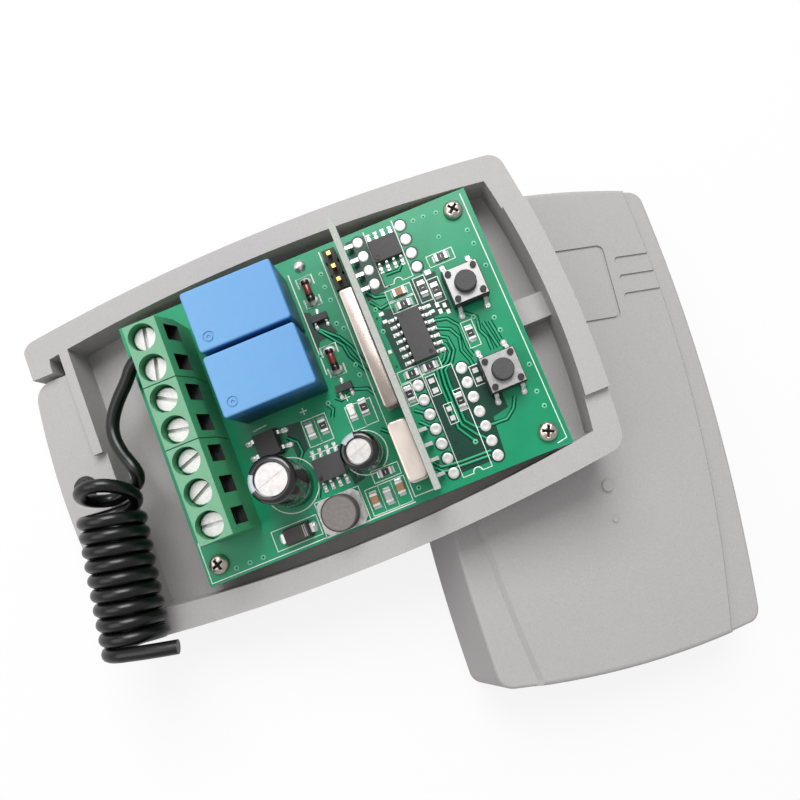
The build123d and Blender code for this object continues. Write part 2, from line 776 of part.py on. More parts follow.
def antenna_core():
    """Bared end of the wire, held between the first clamp and its contact strip."""
    length = 3.6
    return Pos(-length / 2, 0, 0) * Rot(0, 90, 0) * Cylinder(core_wire_r, length)


def tray_pieces():
    made = {"base_tray": base_tray(), "circuit_board": circuit_board()}
    heads = Part()
    for x, y in board_screws_at()[:3]:
        heads += on_board(board_screw(), x, y)
    made["board_screws"] = heads
    start = 0
    for name, count in zip("abc", pole_counts):
        made["terminal_block_" + name] = on_board(terminal_block(count), pole_x, pole_y(start))
        start += count
    contacts = Part()
    for i in range(sum(pole_counts)):
        contacts += on_board(terminal_contact(), pole_x, pole_y(i))
        raised = clamp_travel - 2 * core_wire_r - 0.03 if i == 0 else 0
        made[f"terminal_screw_{i + 1}"] = on_board(terminal_screw(), pole_x, pole_y(i))
        made[f"wire_clamp_{i + 1}"] = on_board(wire_clamp(), pole_x, pole_y(i), z=raised)
    made["terminal_contacts"] = contacts
    for name, y in zip("ab", relay_y):
        made["relay_case_" + name] = on_board(relay_case(), relay_x, y)
        made["relay_base_" + name] = on_board(relay_base_plate(), relay_x, y)
        made["relay_coil_" + name] = on_board(relay_coil(), relay_x, y)
        made["relay_armature_" + name] = on_board(relay_armature(), relay_x, y)
        made["relay_contacts_" + name] = on_board(relay_contacts(), relay_x, y)
    flat = {"module_board": module_board(), "module_pins": module_pins(), "module_can": module_can()}
    flat["crystal_can"] = crystal_can()
    flat["crystal_foot"] = crystal_foot()
    made.update({name: on_board(shape, 0, 0) for name, shape in flat.items()})
    made["pin_header"] = on_board(pin_header(), *header_at)
    made["header_pins"] = on_board(header_pins(), *header_at)
    for i, (x, y) in enumerate(switch_at, 1):
        made[f"switch_body_{i}"] = on_board(switch_body() + switch_legs(), x, y)
        made[f"switch_plate_{i}"] = on_board(switch_plate(), x, y)
        made[f"switch_button_{i}"] = on_board(switch_button(), x, y)
    made["capacitor_large"] = on_board(can_capacitor(*big_cap[2:]), *big_cap[:2])
    made["capacitor_small"] = on_board(can_capacitor(*small_cap[2:]), *small_cap[:2])
    made["power_choke"] = on_board(power_choke(), *choke_at)
    made["driver_chip"] = on_board(gull_chip(8.7, 3.9, 1.5, 7, 1.27), 46.0, 25.5)
    made["logic_chips"] = on_board(gull_chip(4.9, 3.9, 1.5, 4, 1.27), 46.6, 40.9, 90)
    made["logic_chips"] += on_board(gull_chip(4.9, 3.9, 1.5, 4, 1.27), 24.9, 10.8, 90)
    made["bridge_rectifier"] = on_board(bridge_rectifier(), *bridge_at)
    made["power_diode"] = on_board(power_diode(), 16.4, 2.9)
    made["transistors"] = placed(small_transistor(), transistor_spots)
    made["glass_diodes"] = placed(glass_diode(), glass_spots)
    made["chip_resistors"] = placed(chip(2.0, 1.25, 0.5), resistor_spots)
    made["chip_capacitors"] = placed(chip(2.0, 1.25, 0.9), capacitor_spots)
    made["status_leds"] = placed(chip(2.0, 1.25, 0.7), led_spots)
    made["antenna_core"] = Location(lead_exit) * Rot(0, 0, 180) * antenna_core()
    made["antenna_lead"] = antenna_lead()
    made["antenna_coil"] = antenna_coil()
    return made


cord_names = ("antenna_lead", "antenna_coil")


def lean_angle():
    """Angle at which the underside just clears the cover's nearer edge, beside the tray's side."""
    turn = radians(cover_turn + 90)
    band_inset = cover_height * tan(radians(cover_draft))
    near_side = -corner_y - side_bow / 2
    best = 1e9
    for i in range(81):
        along = corner_x * (i - 40) / 40
        out = side_y(along) - band_inset
        x = cover_distance - out * cos(turn) + along * sin(turn)
        y = cover_offset - out * sin(turn) - along * cos(turn)
        if y > near_side:
            best = min(best, x)
    return degrees(atan2(cover_height + lean_clearance, best))


def main():
    os.makedirs("parts", exist_ok=True)
    foot = Vector(-shelf_reach - shelf_bow, 0, 0)
    lean = lean_angle()
    tray_place = Rot(0, -lean, 0) * Pos(-foot.X, 0, 0)
    cover_place = Location((cover_distance, cover_offset, 0), (0, 0, cover_turn))
    pieces = {name: tray_place * shape for name, shape in tray_pieces().items()}
    pieces["cover"] = cover_place * cover()
    own = Compound([shape for name, shape in pieces.items() if name not in cord_names])
    box = own.bounding_box()
    shift = Pos(-box.center().X, -box.center().Y, -box.min.Z)
    print("lean", round(lean, 3), "box", box.size, "shift", shift.position)
    print("least gap of the coil to itself", round(least_coil_gap(), 2))
    for name, shape in pieces.items():
        export_step(shift * shape, f"parts/{name}.step")
    return {"lean": lean, "tray_place": shift * tray_place, "cover_place": shift * cover_place}


frame = main()
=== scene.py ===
import bmesh
import bpy
import json
import math
from mathutils import Euler, Matrix, Vector


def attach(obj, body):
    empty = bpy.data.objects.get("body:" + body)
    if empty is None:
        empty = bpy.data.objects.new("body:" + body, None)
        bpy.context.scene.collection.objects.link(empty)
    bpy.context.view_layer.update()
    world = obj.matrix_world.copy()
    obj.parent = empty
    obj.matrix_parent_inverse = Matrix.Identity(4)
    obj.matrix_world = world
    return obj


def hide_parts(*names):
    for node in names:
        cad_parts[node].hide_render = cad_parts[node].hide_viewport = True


# A two-channel radio relay receiver with its lid off. Everything that sits on the circuit board is
# drawn in board millimetres: X along the board from its cable end, Y across, Z up from its top face.

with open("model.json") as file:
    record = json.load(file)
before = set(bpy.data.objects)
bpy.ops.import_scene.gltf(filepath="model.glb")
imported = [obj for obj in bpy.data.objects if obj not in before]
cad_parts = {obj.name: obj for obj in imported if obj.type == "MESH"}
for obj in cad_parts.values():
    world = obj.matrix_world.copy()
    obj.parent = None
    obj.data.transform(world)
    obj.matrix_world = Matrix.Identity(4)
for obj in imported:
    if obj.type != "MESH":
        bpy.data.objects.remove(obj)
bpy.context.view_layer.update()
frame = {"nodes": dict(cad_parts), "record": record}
scene = bpy.context.scene
nodes = frame["nodes"]
wallHole = next(mount for mount in frame["record"]["mounts"] if mount["name"] == "wall_hole")
millimetre = 0.001

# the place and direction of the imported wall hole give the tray's frame; this is in its millimetres
tray = {"holeAlong": -41.3, "holeHeight": 3.75, "boardCorner": (-26.7, -22.87, 8.8)}
trayUp = -Vector(wallHole["axis"])
trayAlong = Vector((0, 1, 0)).cross(trayUp)
holeInTray = trayAlong * tray["holeAlong"] + trayUp * tray["holeHeight"]
trayOrigin = Vector(wallHole["pos_m"]) - holeInTray * millimetre
trayTurn = Matrix((trayAlong, (0, 1, 0), trayUp)).transposed().to_4x4()
trayPlace = Matrix.Translation(trayOrigin) @ trayTurn @ Matrix.Scale(millimetre, 4)
boardPlace = trayPlace @ Matrix.Translation(tray["boardCorner"])
print("frame read, tray leans", round(math.degrees(math.asin(-trayUp.x)), 2), "degrees")


# a new object in the scene, at the origin
def addObject(name, data):
    made = bpy.data.objects.new(name, data)
    scene.collection.objects.link(made)
    return made


# Camera
cameraSet = {"place": (-0.03154, -0.00146, 0.13402), "turn": (11.607, -10.105, -22.215), "lens": 31.82,
             "sensor": 36, "nearest": 0.005}
cameraData = bpy.data.cameras.new("camera")
cameraData.sensor_width = cameraSet["sensor"]
cameraData.lens = cameraSet["lens"]
cameraData.clip_start = cameraSet["nearest"]
camera = addObject("camera", cameraData)
camera.location = cameraSet["place"]
camera.rotation_euler = Euler([math.radians(a) for a in cameraSet["turn"]])
scene.camera = camera
scene.view_settings.view_transform = "Standard"


# Shader and geometry node helpers
# an output socket, on which sums and products add Math nodes
class Value:

    def __init__(self, tree, out):
        self.tree = tree
        self.out = out

    def maths(self, operation, *values):
        node = self.tree.nodes.new("ShaderNodeMath")
        node.operation = operation
        for socket, value in zip(node.inputs, values):
            feed(self.tree, socket, value)
        return Value(self.tree, node.outputs[0])

    def __add__(self, other):
        return self.maths("ADD", self, other)

    def __radd__(self, other):
        return self.maths("ADD", other, self)

    def __sub__(self, other):
        return self.maths("SUBTRACT", self, other)

    def __rsub__(self, other):
        return self.maths("SUBTRACT", other, self)

    def __mul__(self, other):
        return self.maths("MULTIPLY", self, other)

    def __rmul__(self, other):
        return self.maths("MULTIPLY", other, self)

    def __truediv__(self, other):
        return self.maths("DIVIDE", self, other)

    def __rtruediv__(self, other):
        return self.maths("DIVIDE", other, self)

    def __gt__(self, other):
        return self.maths("GREATER_THAN", self, other)

    def __lt__(self, other):
        return self.maths("LESS_THAN", self, other)

    def size(self):
        return self.maths("ABSOLUTE", self)

    def power(self, other):
        return self.maths("POWER", self, other)

    def larger(self, other):
        return self.maths("MAXIMUM", self, other)


def feed(tree, socket, value):
    if isinstance(value, Value):
        tree.links.new(value.out, socket)
    elif value is not None:
        socket.default_value = value


# a shader or geometry tree, in which node() adds any node
class Graph:

    def __init__(self, tree):
        self.tree = tree

    def node(self, kind, settings=None, sockets=None, output=0):
        node = self.tree.nodes.new(kind)
        for name, value in (settings or {}).items():
            if name == "stops":
                while len(node.color_ramp.elements) < len(value):
                    node.color_ramp.elements.new(0.5)
                for element, (place, colour) in zip(node.color_ramp.elements, value):
                    element.position = place
                    element.color = (*colour, 1)
            else:
                setattr(node, name, value)
        for name, value in (sockets or {}).items():
            feed(self.tree, node.inputs[name], value)
        return Value(self.tree, node.outputs[output])


# a material whose Principled shader takes numbers or Values
class Finish(Graph):

    def __init__(self, name):
        self.material = bpy.data.materials.new(name)
        self.material.use_nodes = True
        super().__init__(self.material.node_tree)
        self.tree.nodes.clear()
        self.place = self.node("ShaderNodeTexCoord", output="Object")

    def noise(self, scale, detail=2.0, vector=None):
        sockets = {"Vector": vector or self.place, "Scale": scale, "Detail": detail}
        return self.node("ShaderNodeTexNoise", {}, sockets)

    def mix(self, factor, first, second):
        sockets = {0: factor, 6: first, 7: second}
        return self.node("ShaderNodeMix", {"data_type": "RGBA"}, sockets, 2)

    # a change between two screen colours
    def between(self, factor, dark, light):
        return self.mix(factor, colour(*dark), colour(*light))

    def ramp(self, factor, stops):
        return self.node("ShaderNodeValToRGB", {"stops": stops}, {"Fac": factor})

    def bump(self, height, distance, strength):
        sockets = {"Height": height, "Distance": distance, "Strength": strength}
        return self.node("ShaderNodeBump", {}, sockets)

    # how far a face looks along a direction, from -1 to 1
    def facing(self, direction):
        normal = self.node("ShaderNodeNewGeometry", output="Normal")
        sockets = {0: normal, 1: tuple(direction)}
        return self.node("ShaderNodeVectorMath", {"operation": "DOT_PRODUCT"}, sockets, "Value")

    # Object coordinates in the millimetres of the frame that a matrix gives
    def turned(self, place):
        back = place.inverted()
        sockets = {"Vector": self.place, "Location": back.to_translation(),
                   "Rotation": back.to_euler(), "Scale": back.to_scale()}
        return self.node("ShaderNodeMapping", {}, sockets)

    def split(self, vector):
        node = self.node("ShaderNodeSeparateXYZ", {}, {"Vector": vector})
        return [Value(self.tree, out) for out in node.out.node.outputs]

    def surface(self, shader):
        out = self.tree.nodes.new("ShaderNodeOutputMaterial")
        self.tree.links.new(shader.out, out.inputs["Surface"])
        return self.material

    def finish(self, **sockets):
        labelled = {name.replace("_", " "): value for name, value in sockets.items()}
        return self.surface(self.node("ShaderNodeBsdfPrincipled", {}, labelled))


# a colour as a screen shows it, 0 to 255, in the shader's own scale
def rgb(red, green, blue):
    parts = [c / 255 for c in (red, green, blue)]
    return tuple(p / 12.92 if p <= 0.04045 else ((p + 0.055) / 1.055) ** 2.4 for p in parts)


def colour(red, green, blue):
    return (*rgb(red, green, blue), 1)


# Parts whose places both the finishes and the pieces need, in board millimetres
# room: half the length and width of the plastic, out of which bare leads stand
# feet: how far out the solder on the leads lies, and its rows; lump: how that solder is stretched
terminals = {
    "poles": {"a": (1, 2), "b": (3, 4), "c": (5, 6, 7)},
    "firstPole": 38.73, "pitch": 5.0, "column": 7.2,
    "windowLow": 6.4, "windowTop": 10.33, "windowFrom": 9.15, "windowHalf": 1.33, "sill": 0.03,
    "cutMiddle": 11.23, "cutSize": (4.0, 2.56, 2.5),
    "slotTurns": (-9, -12, 59, 77, 109, 117, 84),
}
relays = {"left": 11, "length": 20, "height": 11.55}
capacitors = {
    "large": {"place": (18.0, 10.45), "lean": (-0.15, 1.2), "radius": 3.7, "height": 11.9, "disc": 2.45,
              "stripeAt": 172},
    "small": {"place": (31.1, 10.8), "lean": (-0.25, 0.2), "radius": 3.1, "height": 7.3, "disc": 1.85,
              "stripeAt": 112},
}
choke = {"place": (24.2, 3.35), "drumRadius": 2.95, "drumFrom": 1.0, "rimFrom": 2.6}
chips = {
    "driver": {"place": (46.0, 25.5), "room": (1.97, 4.4), "perSide": 7, "turn": 0, "dimple": (1.1, -3.5)},
    "upper": {"place": (46.6, 40.9), "room": (2.5, 1.97), "perSide": 4, "turn": 90, "dimple": (-1.8, -1.3)},
    "lower": {"place": (24.9, 10.8), "room": (2.5, 1.97), "perSide": 4, "turn": 90, "dimple": (-1.8, -1.3)},
}
bridge = {"place": (17.0, 17.9), "room": (2.02, 2.3), "feet": (3.1, (-1.27, 1.27)), "lump": (0.75, 0.5, 0.6)}
powerDiode = {"place": (16.4, 2.9), "room": (2.22, 1.4), "feet": (2.75, (0,)), "lump": (0.55, 1.0, 1.0),
              "bars": (1.3, 1.62), "bar": (0.16, 1.9, 0.02), "top": 2.21}
switches = [{"place": place, "room": (3.05, 3.05), "feet": (2.25, (-4.25, 4.25)), "lump": (0.55, 0.62, 0.7)}
            for place in ((56.3, 29.9), (56.3, 14.6))]
boardZones = {"edgeTop": 0.02, "domeX": 32.2, "domeHalf": 1.6, "domeFrom": 42.3, "domeLevel": 0.03}


# Materials
# a noise's scale counts its waves in a metre, and a bump's distance is in metres
def housingFinish():
    f = Finish("housing")
    grain = f.noise(5200, detail=2.0)
    fine = f.noise(13000, detail=1.0)
    tint = f.between(grain, (159, 156, 156), (187, 184, 184))
    tint = f.mix(f.noise(70, detail=3.0) * 0.35, tint, colour(167, 164, 165))
    bump = f.bump(grain * 0.6 + fine * 0.4, distance=0.00008, strength=0.8)
    return f.finish(Base_Color=tint, Roughness=0.5 + 0.14 * grain, Normal=bump, Specular_IOR_Level=0.45)


def boardFinish():
    f = Finish("solder mask")
    x, y, z = f.split(f.turned(boardPlace))
    cutEdge = (f.facing(trayUp).size() < 0.5) * (z < boardZones["edgeTop"])
    across = (x - boardZones["domeX"]).size() < boardZones["domeHalf"]
    solder = across * (y > boardZones["domeFrom"]) * (z > boardZones["domeLevel"])
    mask = f.between(f.noise(160, detail=4.0), (4, 128, 86), (22, 154, 110))
    edge = f.between(f.noise(3000, detail=2.0), (128, 158, 120), (176, 190, 150))
    tint = f.mix(solder, f.mix(cutEdge, mask, edge), colour(236, 236, 238))
    bump = f.bump(f.noise(2600, detail=1.0), distance=0.00002, strength=0.35)
    rough = 0.28 + 0.1 * f.noise(500) + 0.35 * cutEdge
    return f.finish(Base_Color=tint, Metallic=solder, Roughness=rough, Normal=bump, Coat_Weight=0.08,
                    Coat_Roughness=0.2, Specular_IOR_Level=0.35)


def maskFinish(name, dark, light):
    f = Finish(name)
    bump = f.bump(f.noise(2600), distance=0.00002, strength=0.3)
    tint = f.between(f.noise(300, detail=3.0), dark, light)
    return f.finish(Base_Color=tint, Roughness=0.3 + 0.1 * f.noise(900), Normal=bump, Coat_Weight=0.08,
                    Coat_Roughness=0.2, Specular_IOR_Level=0.35)


def plasticFinish(name, dark, light, rough, scale=1500, depth=0.00002, coat=0.0):
    f = Finish(name)
    grain = f.noise(scale, detail=3.0)
    tint = f.between(grain, dark, light)
    bump = f.bump(f.noise(scale * 2.2, detail=2.0), distance=depth, strength=0.5)
    return f.finish(Base_Color=tint, Roughness=rough - 0.06 + 0.12 * grain, Normal=bump, Coat_Weight=coat,
                    Coat_Roughness=0.12)


def metalFinish(name, dark, light, rough, scale=900, stretch=(1, 1, 1), depth=0.00001, metal=1.0):
    f = Finish(name)
    place = f.node("ShaderNodeMapping", {}, {"Vector": f.turned(boardPlace), "Scale": stretch})
    grain = f.noise(scale * millimetre, detail=4.0, vector=place)
    tint = f.between(grain, dark, light)
    bump = f.bump(grain, distance=depth, strength=0.6)
    return f.finish(Base_Color=tint, Metallic=metal, Roughness=rough - 0.08 + 0.2 * grain, Normal=bump)


# clear blue case with painted light: its top is bright with a painted glare that fades along the case, and
# its walls are in painted shade, darker towards the board
def relayFinish():
    f = Finish("relay blue")
    x, y, z = f.split(f.turned(boardPlace))
    # painted light: faces that look up take the lit top colour, the others the shaded wall colour
    level = f.ramp(f.facing(trayUp), [(0.25, (0, 0, 0)), (0.8, (1, 1, 1))])
    grain = f.noise(900, detail=3.0)
    along = (x - relays["left"]) / relays["length"]
    # painted glare on the top, lighter at the case's end nearer the cable end
    glare = f.ramp(along, [(0.0, rgb(116, 167, 211)), (1.0, rgb(100, 153, 205))])
    top = f.mix(grain * 0.5, glare, colour(100, 150, 200))
    # painted shade on the walls, darkest next to the board
    wall = f.ramp(z / relays["height"], [(0.0, rgb(18, 66, 78)), (0.6, rgb(16, 76, 122)),
                                         (0.97, rgb(66, 132, 196))])
    bump = f.bump(f.noise(500, detail=2.0), distance=0.00001, strength=0.3)
    return f.finish(Base_Color=f.mix(level, wall, top), Roughness=0.34 + 0.08 * grain,
                    Specular_IOR_Level=0.25, Normal=bump)


# moulded green; a painted sheen makes the top paler than the walls, and painted shade darkens the insides of
# the windows in the blocks' backs
def terminalFinish():
    f = Finish("terminal green")
    x, y, z = f.split(f.turned(boardPlace))
    steps = (y - terminals["firstPole"]) / terminals["pitch"] + 10.5  # a whole number and a half at each pole
    across = (steps.maths("FRACT", steps) - 0.5).size() * terminals["pitch"]
    height = (z > terminals["windowLow"] - terminals["sill"]) * (z < terminals["windowTop"])
    # painted shade inside each window, nearly black
    windowShade = (across < terminals["windowHalf"]) * (x > terminals["windowFrom"]) * height
    grain = f.noise(1800, detail=3.0)
    # painted sheen: faces that look up take the paler top colour
    level = f.ramp(f.facing(trayUp), [(0.6, (0, 0, 0)), (0.95, (1, 1, 1))])
    wall = f.between(grain, (60, 148, 98), (74, 160, 112))
    top = f.between(grain, (98, 156, 122), (112, 168, 134))
    tint = f.mix(windowShade, f.mix(level, wall, top), colour(4, 12, 8))
    bump = f.bump(grain, distance=0.00003, strength=0.5)
    return f.finish(Base_Color=tint, Roughness=0.42 + 0.1 * grain, Coat_Weight=0.1, Normal=bump)


# black plastic, and bare metal for all that stands out of the parts' rooms
def leadedFinish(name, parts, dark, light, rough):
    f = Finish(name)
    x, y, z = f.split(f.turned(boardPlace))
    lead = 1.0
    for part in parts:
        midX, midY = part["place"]
        halfX, halfY = part["room"]
        outside = ((x - midX).size() > halfX).larger((y - midY).size() > halfY)
        lead = outside * lead
    grain = f.noise(4200, detail=3.0)
    plastic = f.between(grain, dark, light)
    metal = f.between(f.noise(900, detail=2.0), (206, 206, 208), (240, 240, 240))
    bump = f.bump(grain, distance=0.00003, strength=0.5)
    return f.finish(Base_Color=f.mix(lead, plastic, metal), Metallic=lead, Normal=bump,
                    Roughness=rough + 0.08 * grain - (rough - 0.26) * lead)


# the frame of a part that stands at a place and leans so much at its top
def leaning(part):
    lean = Vector((0, 0, 1)).rotation_difference(Vector((*part["lean"], part["height"])))
    return Matrix.Translation((*part["place"], 0)) @ lean.to_matrix().to_4x4()


sleeves = {"topReach": 0.04, "topDepth": 0.5, "stripeHalf": 0.42, "stripeFrom": 0.25}


# shrink sleeve with its printed stripe, and the scored metal top inside it
def capacitorFinish(name, can):
    f = Finish(name)
    x, y, z = f.split(f.turned(boardPlace @ leaning(can)))
    out = (x * x + y * y).power(0.5)
    top = (out < can["disc"] + sleeves["topReach"]) * (z > can["height"] - sleeves["topDepth"])
    angle = y.maths("ARCTAN2", y, x) - math.radians(can["stripeAt"])
    apart = angle.maths("WRAP", angle, math.pi, -math.pi)
    stripe = (apart.size() < sleeves["stripeHalf"]) * (out > can["disc"] + sleeves["stripeFrom"])
    sleeve = f.between(stripe, (18, 18, 22), (176, 186, 192))
    disc = f.between(f.noise(1500, detail=4.0), (172, 168, 166), (226, 222, 220))
    bump = f.bump(f.noise(1800, detail=3.0), distance=0.00002, strength=0.4)
    return f.finish(Base_Color=f.mix(top, sleeve, disc), Metallic=top * 0.85, Roughness=0.2 + 0.22 * top,
                    Normal=bump, Coat_Weight=0.5 - 0.5 * top, Coat_Roughness=0.12)


# ground drum, dark at its rim, on a tinned square
def chokeFinish():
    f = Finish("choke")
    x, y, z = f.split(f.turned(boardPlace))
    x, y = x - choke["place"][0], y - choke["place"][1]
    out = (x * x + y * y).power(0.5)
    drum = (out < choke["drumRadius"]) * (z > choke["drumFrom"])
    rim = drum * (out > choke["rimFrom"])
    grain = f.noise(2400, detail=4.0)
    ferrite = f.between(grain, (96, 92, 90), (134, 128, 126))
    ferrite = f.mix(rim * 0.7, ferrite, colour(44, 40, 40))
    tin = f.between(f.noise(900, detail=5.0), (96, 94, 92), (255, 254, 252))
    bump = f.bump(grain, distance=0.00008, strength=0.5)
    return f.finish(Base_Color=f.mix(drum, tin, ferrite), Metallic=0.7 - 0.7 * drum,
                    Roughness=0.3 + 0.3 * drum, Normal=bump)


finishes = {
    "housing": housingFinish(),
    "board": boardFinish(),
    "relay": relayFinish(),
    "terminal": terminalFinish(),
    "choke": chokeFinish(),
    "largeCapacitor": capacitorFinish("large capacitor", capacitors["large"]),
    "smallCapacitor": capacitorFinish("small capacitor", capacitors["small"]),
    "track": maskFinish("tracks under mask", (22, 158, 108), (34, 174, 122)),
    "viaRing": maskFinish("ring round a via", (84, 176, 136), (124, 204, 166)),
    "gap": maskFinish("bare laminate", (2, 56, 42), (4, 68, 52)),
}

# the parts, the plastic's two colours and its roughness
leadedKinds = {
    "driver": ("driver chip", [chips["driver"]], (62, 60, 61), (84, 82, 83), 0.6),
    "logic": ("logic chips", [chips["upper"], chips["lower"]], (58, 56, 57), (80, 78, 79), 0.6),
    "bridge": ("bridge", [bridge], (52, 50, 50), (66, 64, 63), 0.6),
    "powerDiode": ("power diode", [powerDiode], (50, 48, 46), (64, 62, 60), 0.55),
    "switchBody": ("switch body", switches, (24, 24, 26), (36, 36, 38), 0.5),
}
# two colours, roughness, fineness of the grain, depth of its bumps and how thick a clear coat looks
plasticKinds = {
    "silk": ("silkscreen ink", (226, 232, 224), (246, 248, 242), 0.55, 4000),
    "resin": ("relay resin", (18, 26, 46), (26, 36, 60), 0.5),
    "package": ("moulded epoxy", (48, 48, 50), (66, 66, 68), 0.6, 4200, 0.00003),
    "black": ("black plastic", (22, 22, 24), (34, 34, 36), 0.5, 4200, 0.00004),
    "button": ("button", (54, 53, 54), (96, 95, 96), 0.72, 6000, 0.00009),
    "card": ("module card", (146, 152, 146), (186, 190, 184), 0.6, 2600, 0.00003),
    "ceramicBrown": ("brown ceramic", (150, 108, 76), (176, 132, 98), 0.45, 2400),
    "ceramicGrey": ("grey ceramic", (150, 150, 150), (178, 178, 176), 0.45, 2400),
    "lens": ("lamp lens", (240, 234, 226), (255, 250, 244), 0.25, 900, 0.00001, 0.5),
    "glassEnd": ("diode end", (30, 16, 18), (58, 34, 36), 0.2, 1500, 0.00001, 0.5),
    "glass": ("diode glass", (96, 22, 22), (150, 58, 46), 0.12, 1500, 0.00001, 0.8),
    "wire": ("wire insulation", (5, 5, 6), (13, 13, 14), 0.3, 260, 0.00003),
    # painted shade: dark discs that stand in for the shade inside drilled holes
    "dark": ("drilled holes", (8, 22, 18), (14, 30, 26), 0.7),
    "dimple": ("moulded dimple", (30, 30, 32), (38, 38, 40), 0.35, 4200),
    "alumina": ("white ceramic", (210, 208, 204), (232, 230, 226), 0.5, 2400),
    "glaze": ("resistor glaze", (30, 30, 32), (46, 46, 50), 0.28, 2600, 0.00001, 0.3),
}
# two colours, roughness, fineness of the grain, its stretch, depth of its bumps and share of metal
metalKinds = {
    "screwSteel": ("zinc plated screw", (158, 158, 156), (246, 245, 243), 0.42, 2400, (1, 5, 1), 0.00005),
    "steel": ("clamp steel", (170, 168, 164), (206, 204, 200), 0.36, 900),
    "tin": ("tinned", (206, 206, 208), (244, 244, 244), 0.3, 1600),
    "solder": ("solder", (208, 206, 204), (240, 239, 238), 0.32, 1900, (1, 1, 1), 0.00003, 0.5),
    "plate": ("switch plate", (152, 151, 151), (184, 183, 183), 0.42, 1200),
    "can": ("drawn can", (156, 145, 137), (204, 192, 184), 0.24, 640, (1, 0.35, 1), 0.000015),
    "crystal": ("crystal can", (222, 208, 198), (246, 232, 222), 0.22, 640, (1, 0.35, 1), 0.000015, 0.45),
    "screwHead": ("nickel plated screw", (174, 163, 152), (228, 218, 206), 0.3, 2400, (1, 1, 1), 0.00003),
    # painted shade for the floors of the screws' cross recesses
    "recess": ("shadowed recess", (34, 30, 28), (60, 54, 50), 0.5, 2400),
    "gold": ("gold plate", (206, 168, 84), (236, 200, 116), 0.28, 900),
    "copper": ("wound copper", (150, 84, 52), (190, 112, 70), 0.34, 3000, (1, 1, 8)),
}
finishes.update({kind: leadedFinish(*values) for kind, values in leadedKinds.items()})
finishes.update({kind: plasticFinish(*values) for kind, values in plasticKinds.items()})
finishes.update({kind: metalFinish(*values) for kind, values in metalKinds.items()})

# the solids that show as they are; the others are replaced further down
dressed = {
    "housing": ["base_tray", "cover"],
    "board": ["circuit_board"],
    "steel": ["wire_clamp_%d" % pole for poles in terminals["poles"].values() for pole in poles]
             + ["relay_armature_a", "relay_armature_b"],
    "tin": ["terminal_contacts", "module_pins", "antenna_core", "relay_contacts_a", "relay_contacts_b"],
    "relay": ["relay_case_a", "relay_case_b"],
    "resin": ["relay_base_a", "relay_base_b"],
    "copper": ["relay_coil_a", "relay_coil_b"],
    "card": ["module_board"],
    "black": ["crystal_foot", "pin_header"],
    "driver": ["driver_chip"],
    "logic": ["logic_chips"],
    "bridge": ["bridge_rectifier"],
    "powerDiode": ["power_diode"],
    "switchBody": ["switch_body_1", "switch_body_2"],
    "gold": ["header_pins"],
    "plate": ["switch_plate_1", "switch_plate_2"],
    "button": ["switch_button_1", "switch_button_2"],
    "choke": ["power_choke"],
}
for finishName, members in dressed.items():
    for member in members:
        nodes[member].data.materials.clear()
        nodes[member].data.materials.append(finishes[finishName])
print("materials made:", len(finishes))


# Antenna, in board millimetres except for its length
# one wire from the first terminal, wound into a loose coil across the tray's cable end
antenna = {
    "diameter": 2.15, "turns": 10.5, "pitch": 2.21, "radius": 4.1, "heading": 262.2, "pointsPerTurn": 16,
    "firstTurn": (-8.5, 18.85, 5.5), "looseReach": 3.2, "looseShrink": 0.4, "tail": 8.0, "tailDrop": 0.1,
    "length": 0.309,
    "lead": ((4.6, 38.73, 3.3), (2.6, 38.72, 3.3), (1.0, 37.9, 3.1), (-0.7, 36.0, 2.6), (-3.2, 34.0, 2.0),
             (-5.3, 31.4, 1.7), (-6.1, 28.6, 1.9), (-5.3, 25.2, 2.6), (-4.0, 22.6, 3.3), (-3.8, 20.6, 2.9),
             (-5.4, 19.5, 1.7)),
}


# a point of the wire's middle, a little outside its circle, because the spline cuts in
def coilPoint(turn):
    heading = math.radians(antenna["heading"])
    advance = Vector((math.cos(heading), math.sin(heading), 0))
    across = Vector((-advance.y, advance.x, 0))
    loose = math.sin(math.pi * turn) ** 2 if turn < 1 else 0.0
    travel = antenna["pitch"] * turn - antenna["looseReach"] * loose
    middle = Vector(antenna["firstTurn"]) + advance * travel
    cutIn = (3 + math.cos(2 * math.pi / antenna["pointsPerTurn"])) / 4
    radius = (antenna["radius"] - antenna["looseShrink"] * loose) / cutIn
    angle = 2 * math.pi * turn
    return middle - across * (radius * math.sin(angle)) - Vector((0, 0, radius * math.cos(angle)))


def antennaRoute():
    points = [Vector(spot) for spot in antenna["lead"]]
    steps = int(antenna["turns"] * antenna["pointsPerTurn"])
    points += [coilPoint((i + 0.5) / antenna["pointsPerTurn"]) for i in range(steps)]
    end = coilPoint(antenna["turns"])
    last = (end - points[-1]).normalized()
    fallen = Vector((0, 0, antenna["tail"] * antenna["tailDrop"]))
    return points + [end, end + last * antenna["tail"] * 0.5, end + last * antenna["tail"] - fallen]


def makeAntenna():
    curve = bpy.data.curves.new("antenna_wire", "CURVE")
    curve.dimensions = "3D"
    curve.bevel_depth = antenna["diameter"] / 2 * millimetre
    curve.bevel_resolution = 5
    curve.resolution_u = 5
    curve.use_fill_caps = True
    spline = curve.splines.new("NURBS")
    route = [boardPlace @ point for point in antennaRoute()]
    spline.points.add(len(route) - 1)
    for point, place in zip(spline.points, route):
        point.co = (*place, 1)
    spline.order_u = 3
    spline.use_endpoint_u = True
    wire = addObject("antenna_wire", curve)
    curve.materials.append(finishes["wire"])
    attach(wire, "tray")
    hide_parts("antenna_lead", "antenna_coil")


makeAntenna()
print("antenna wound")


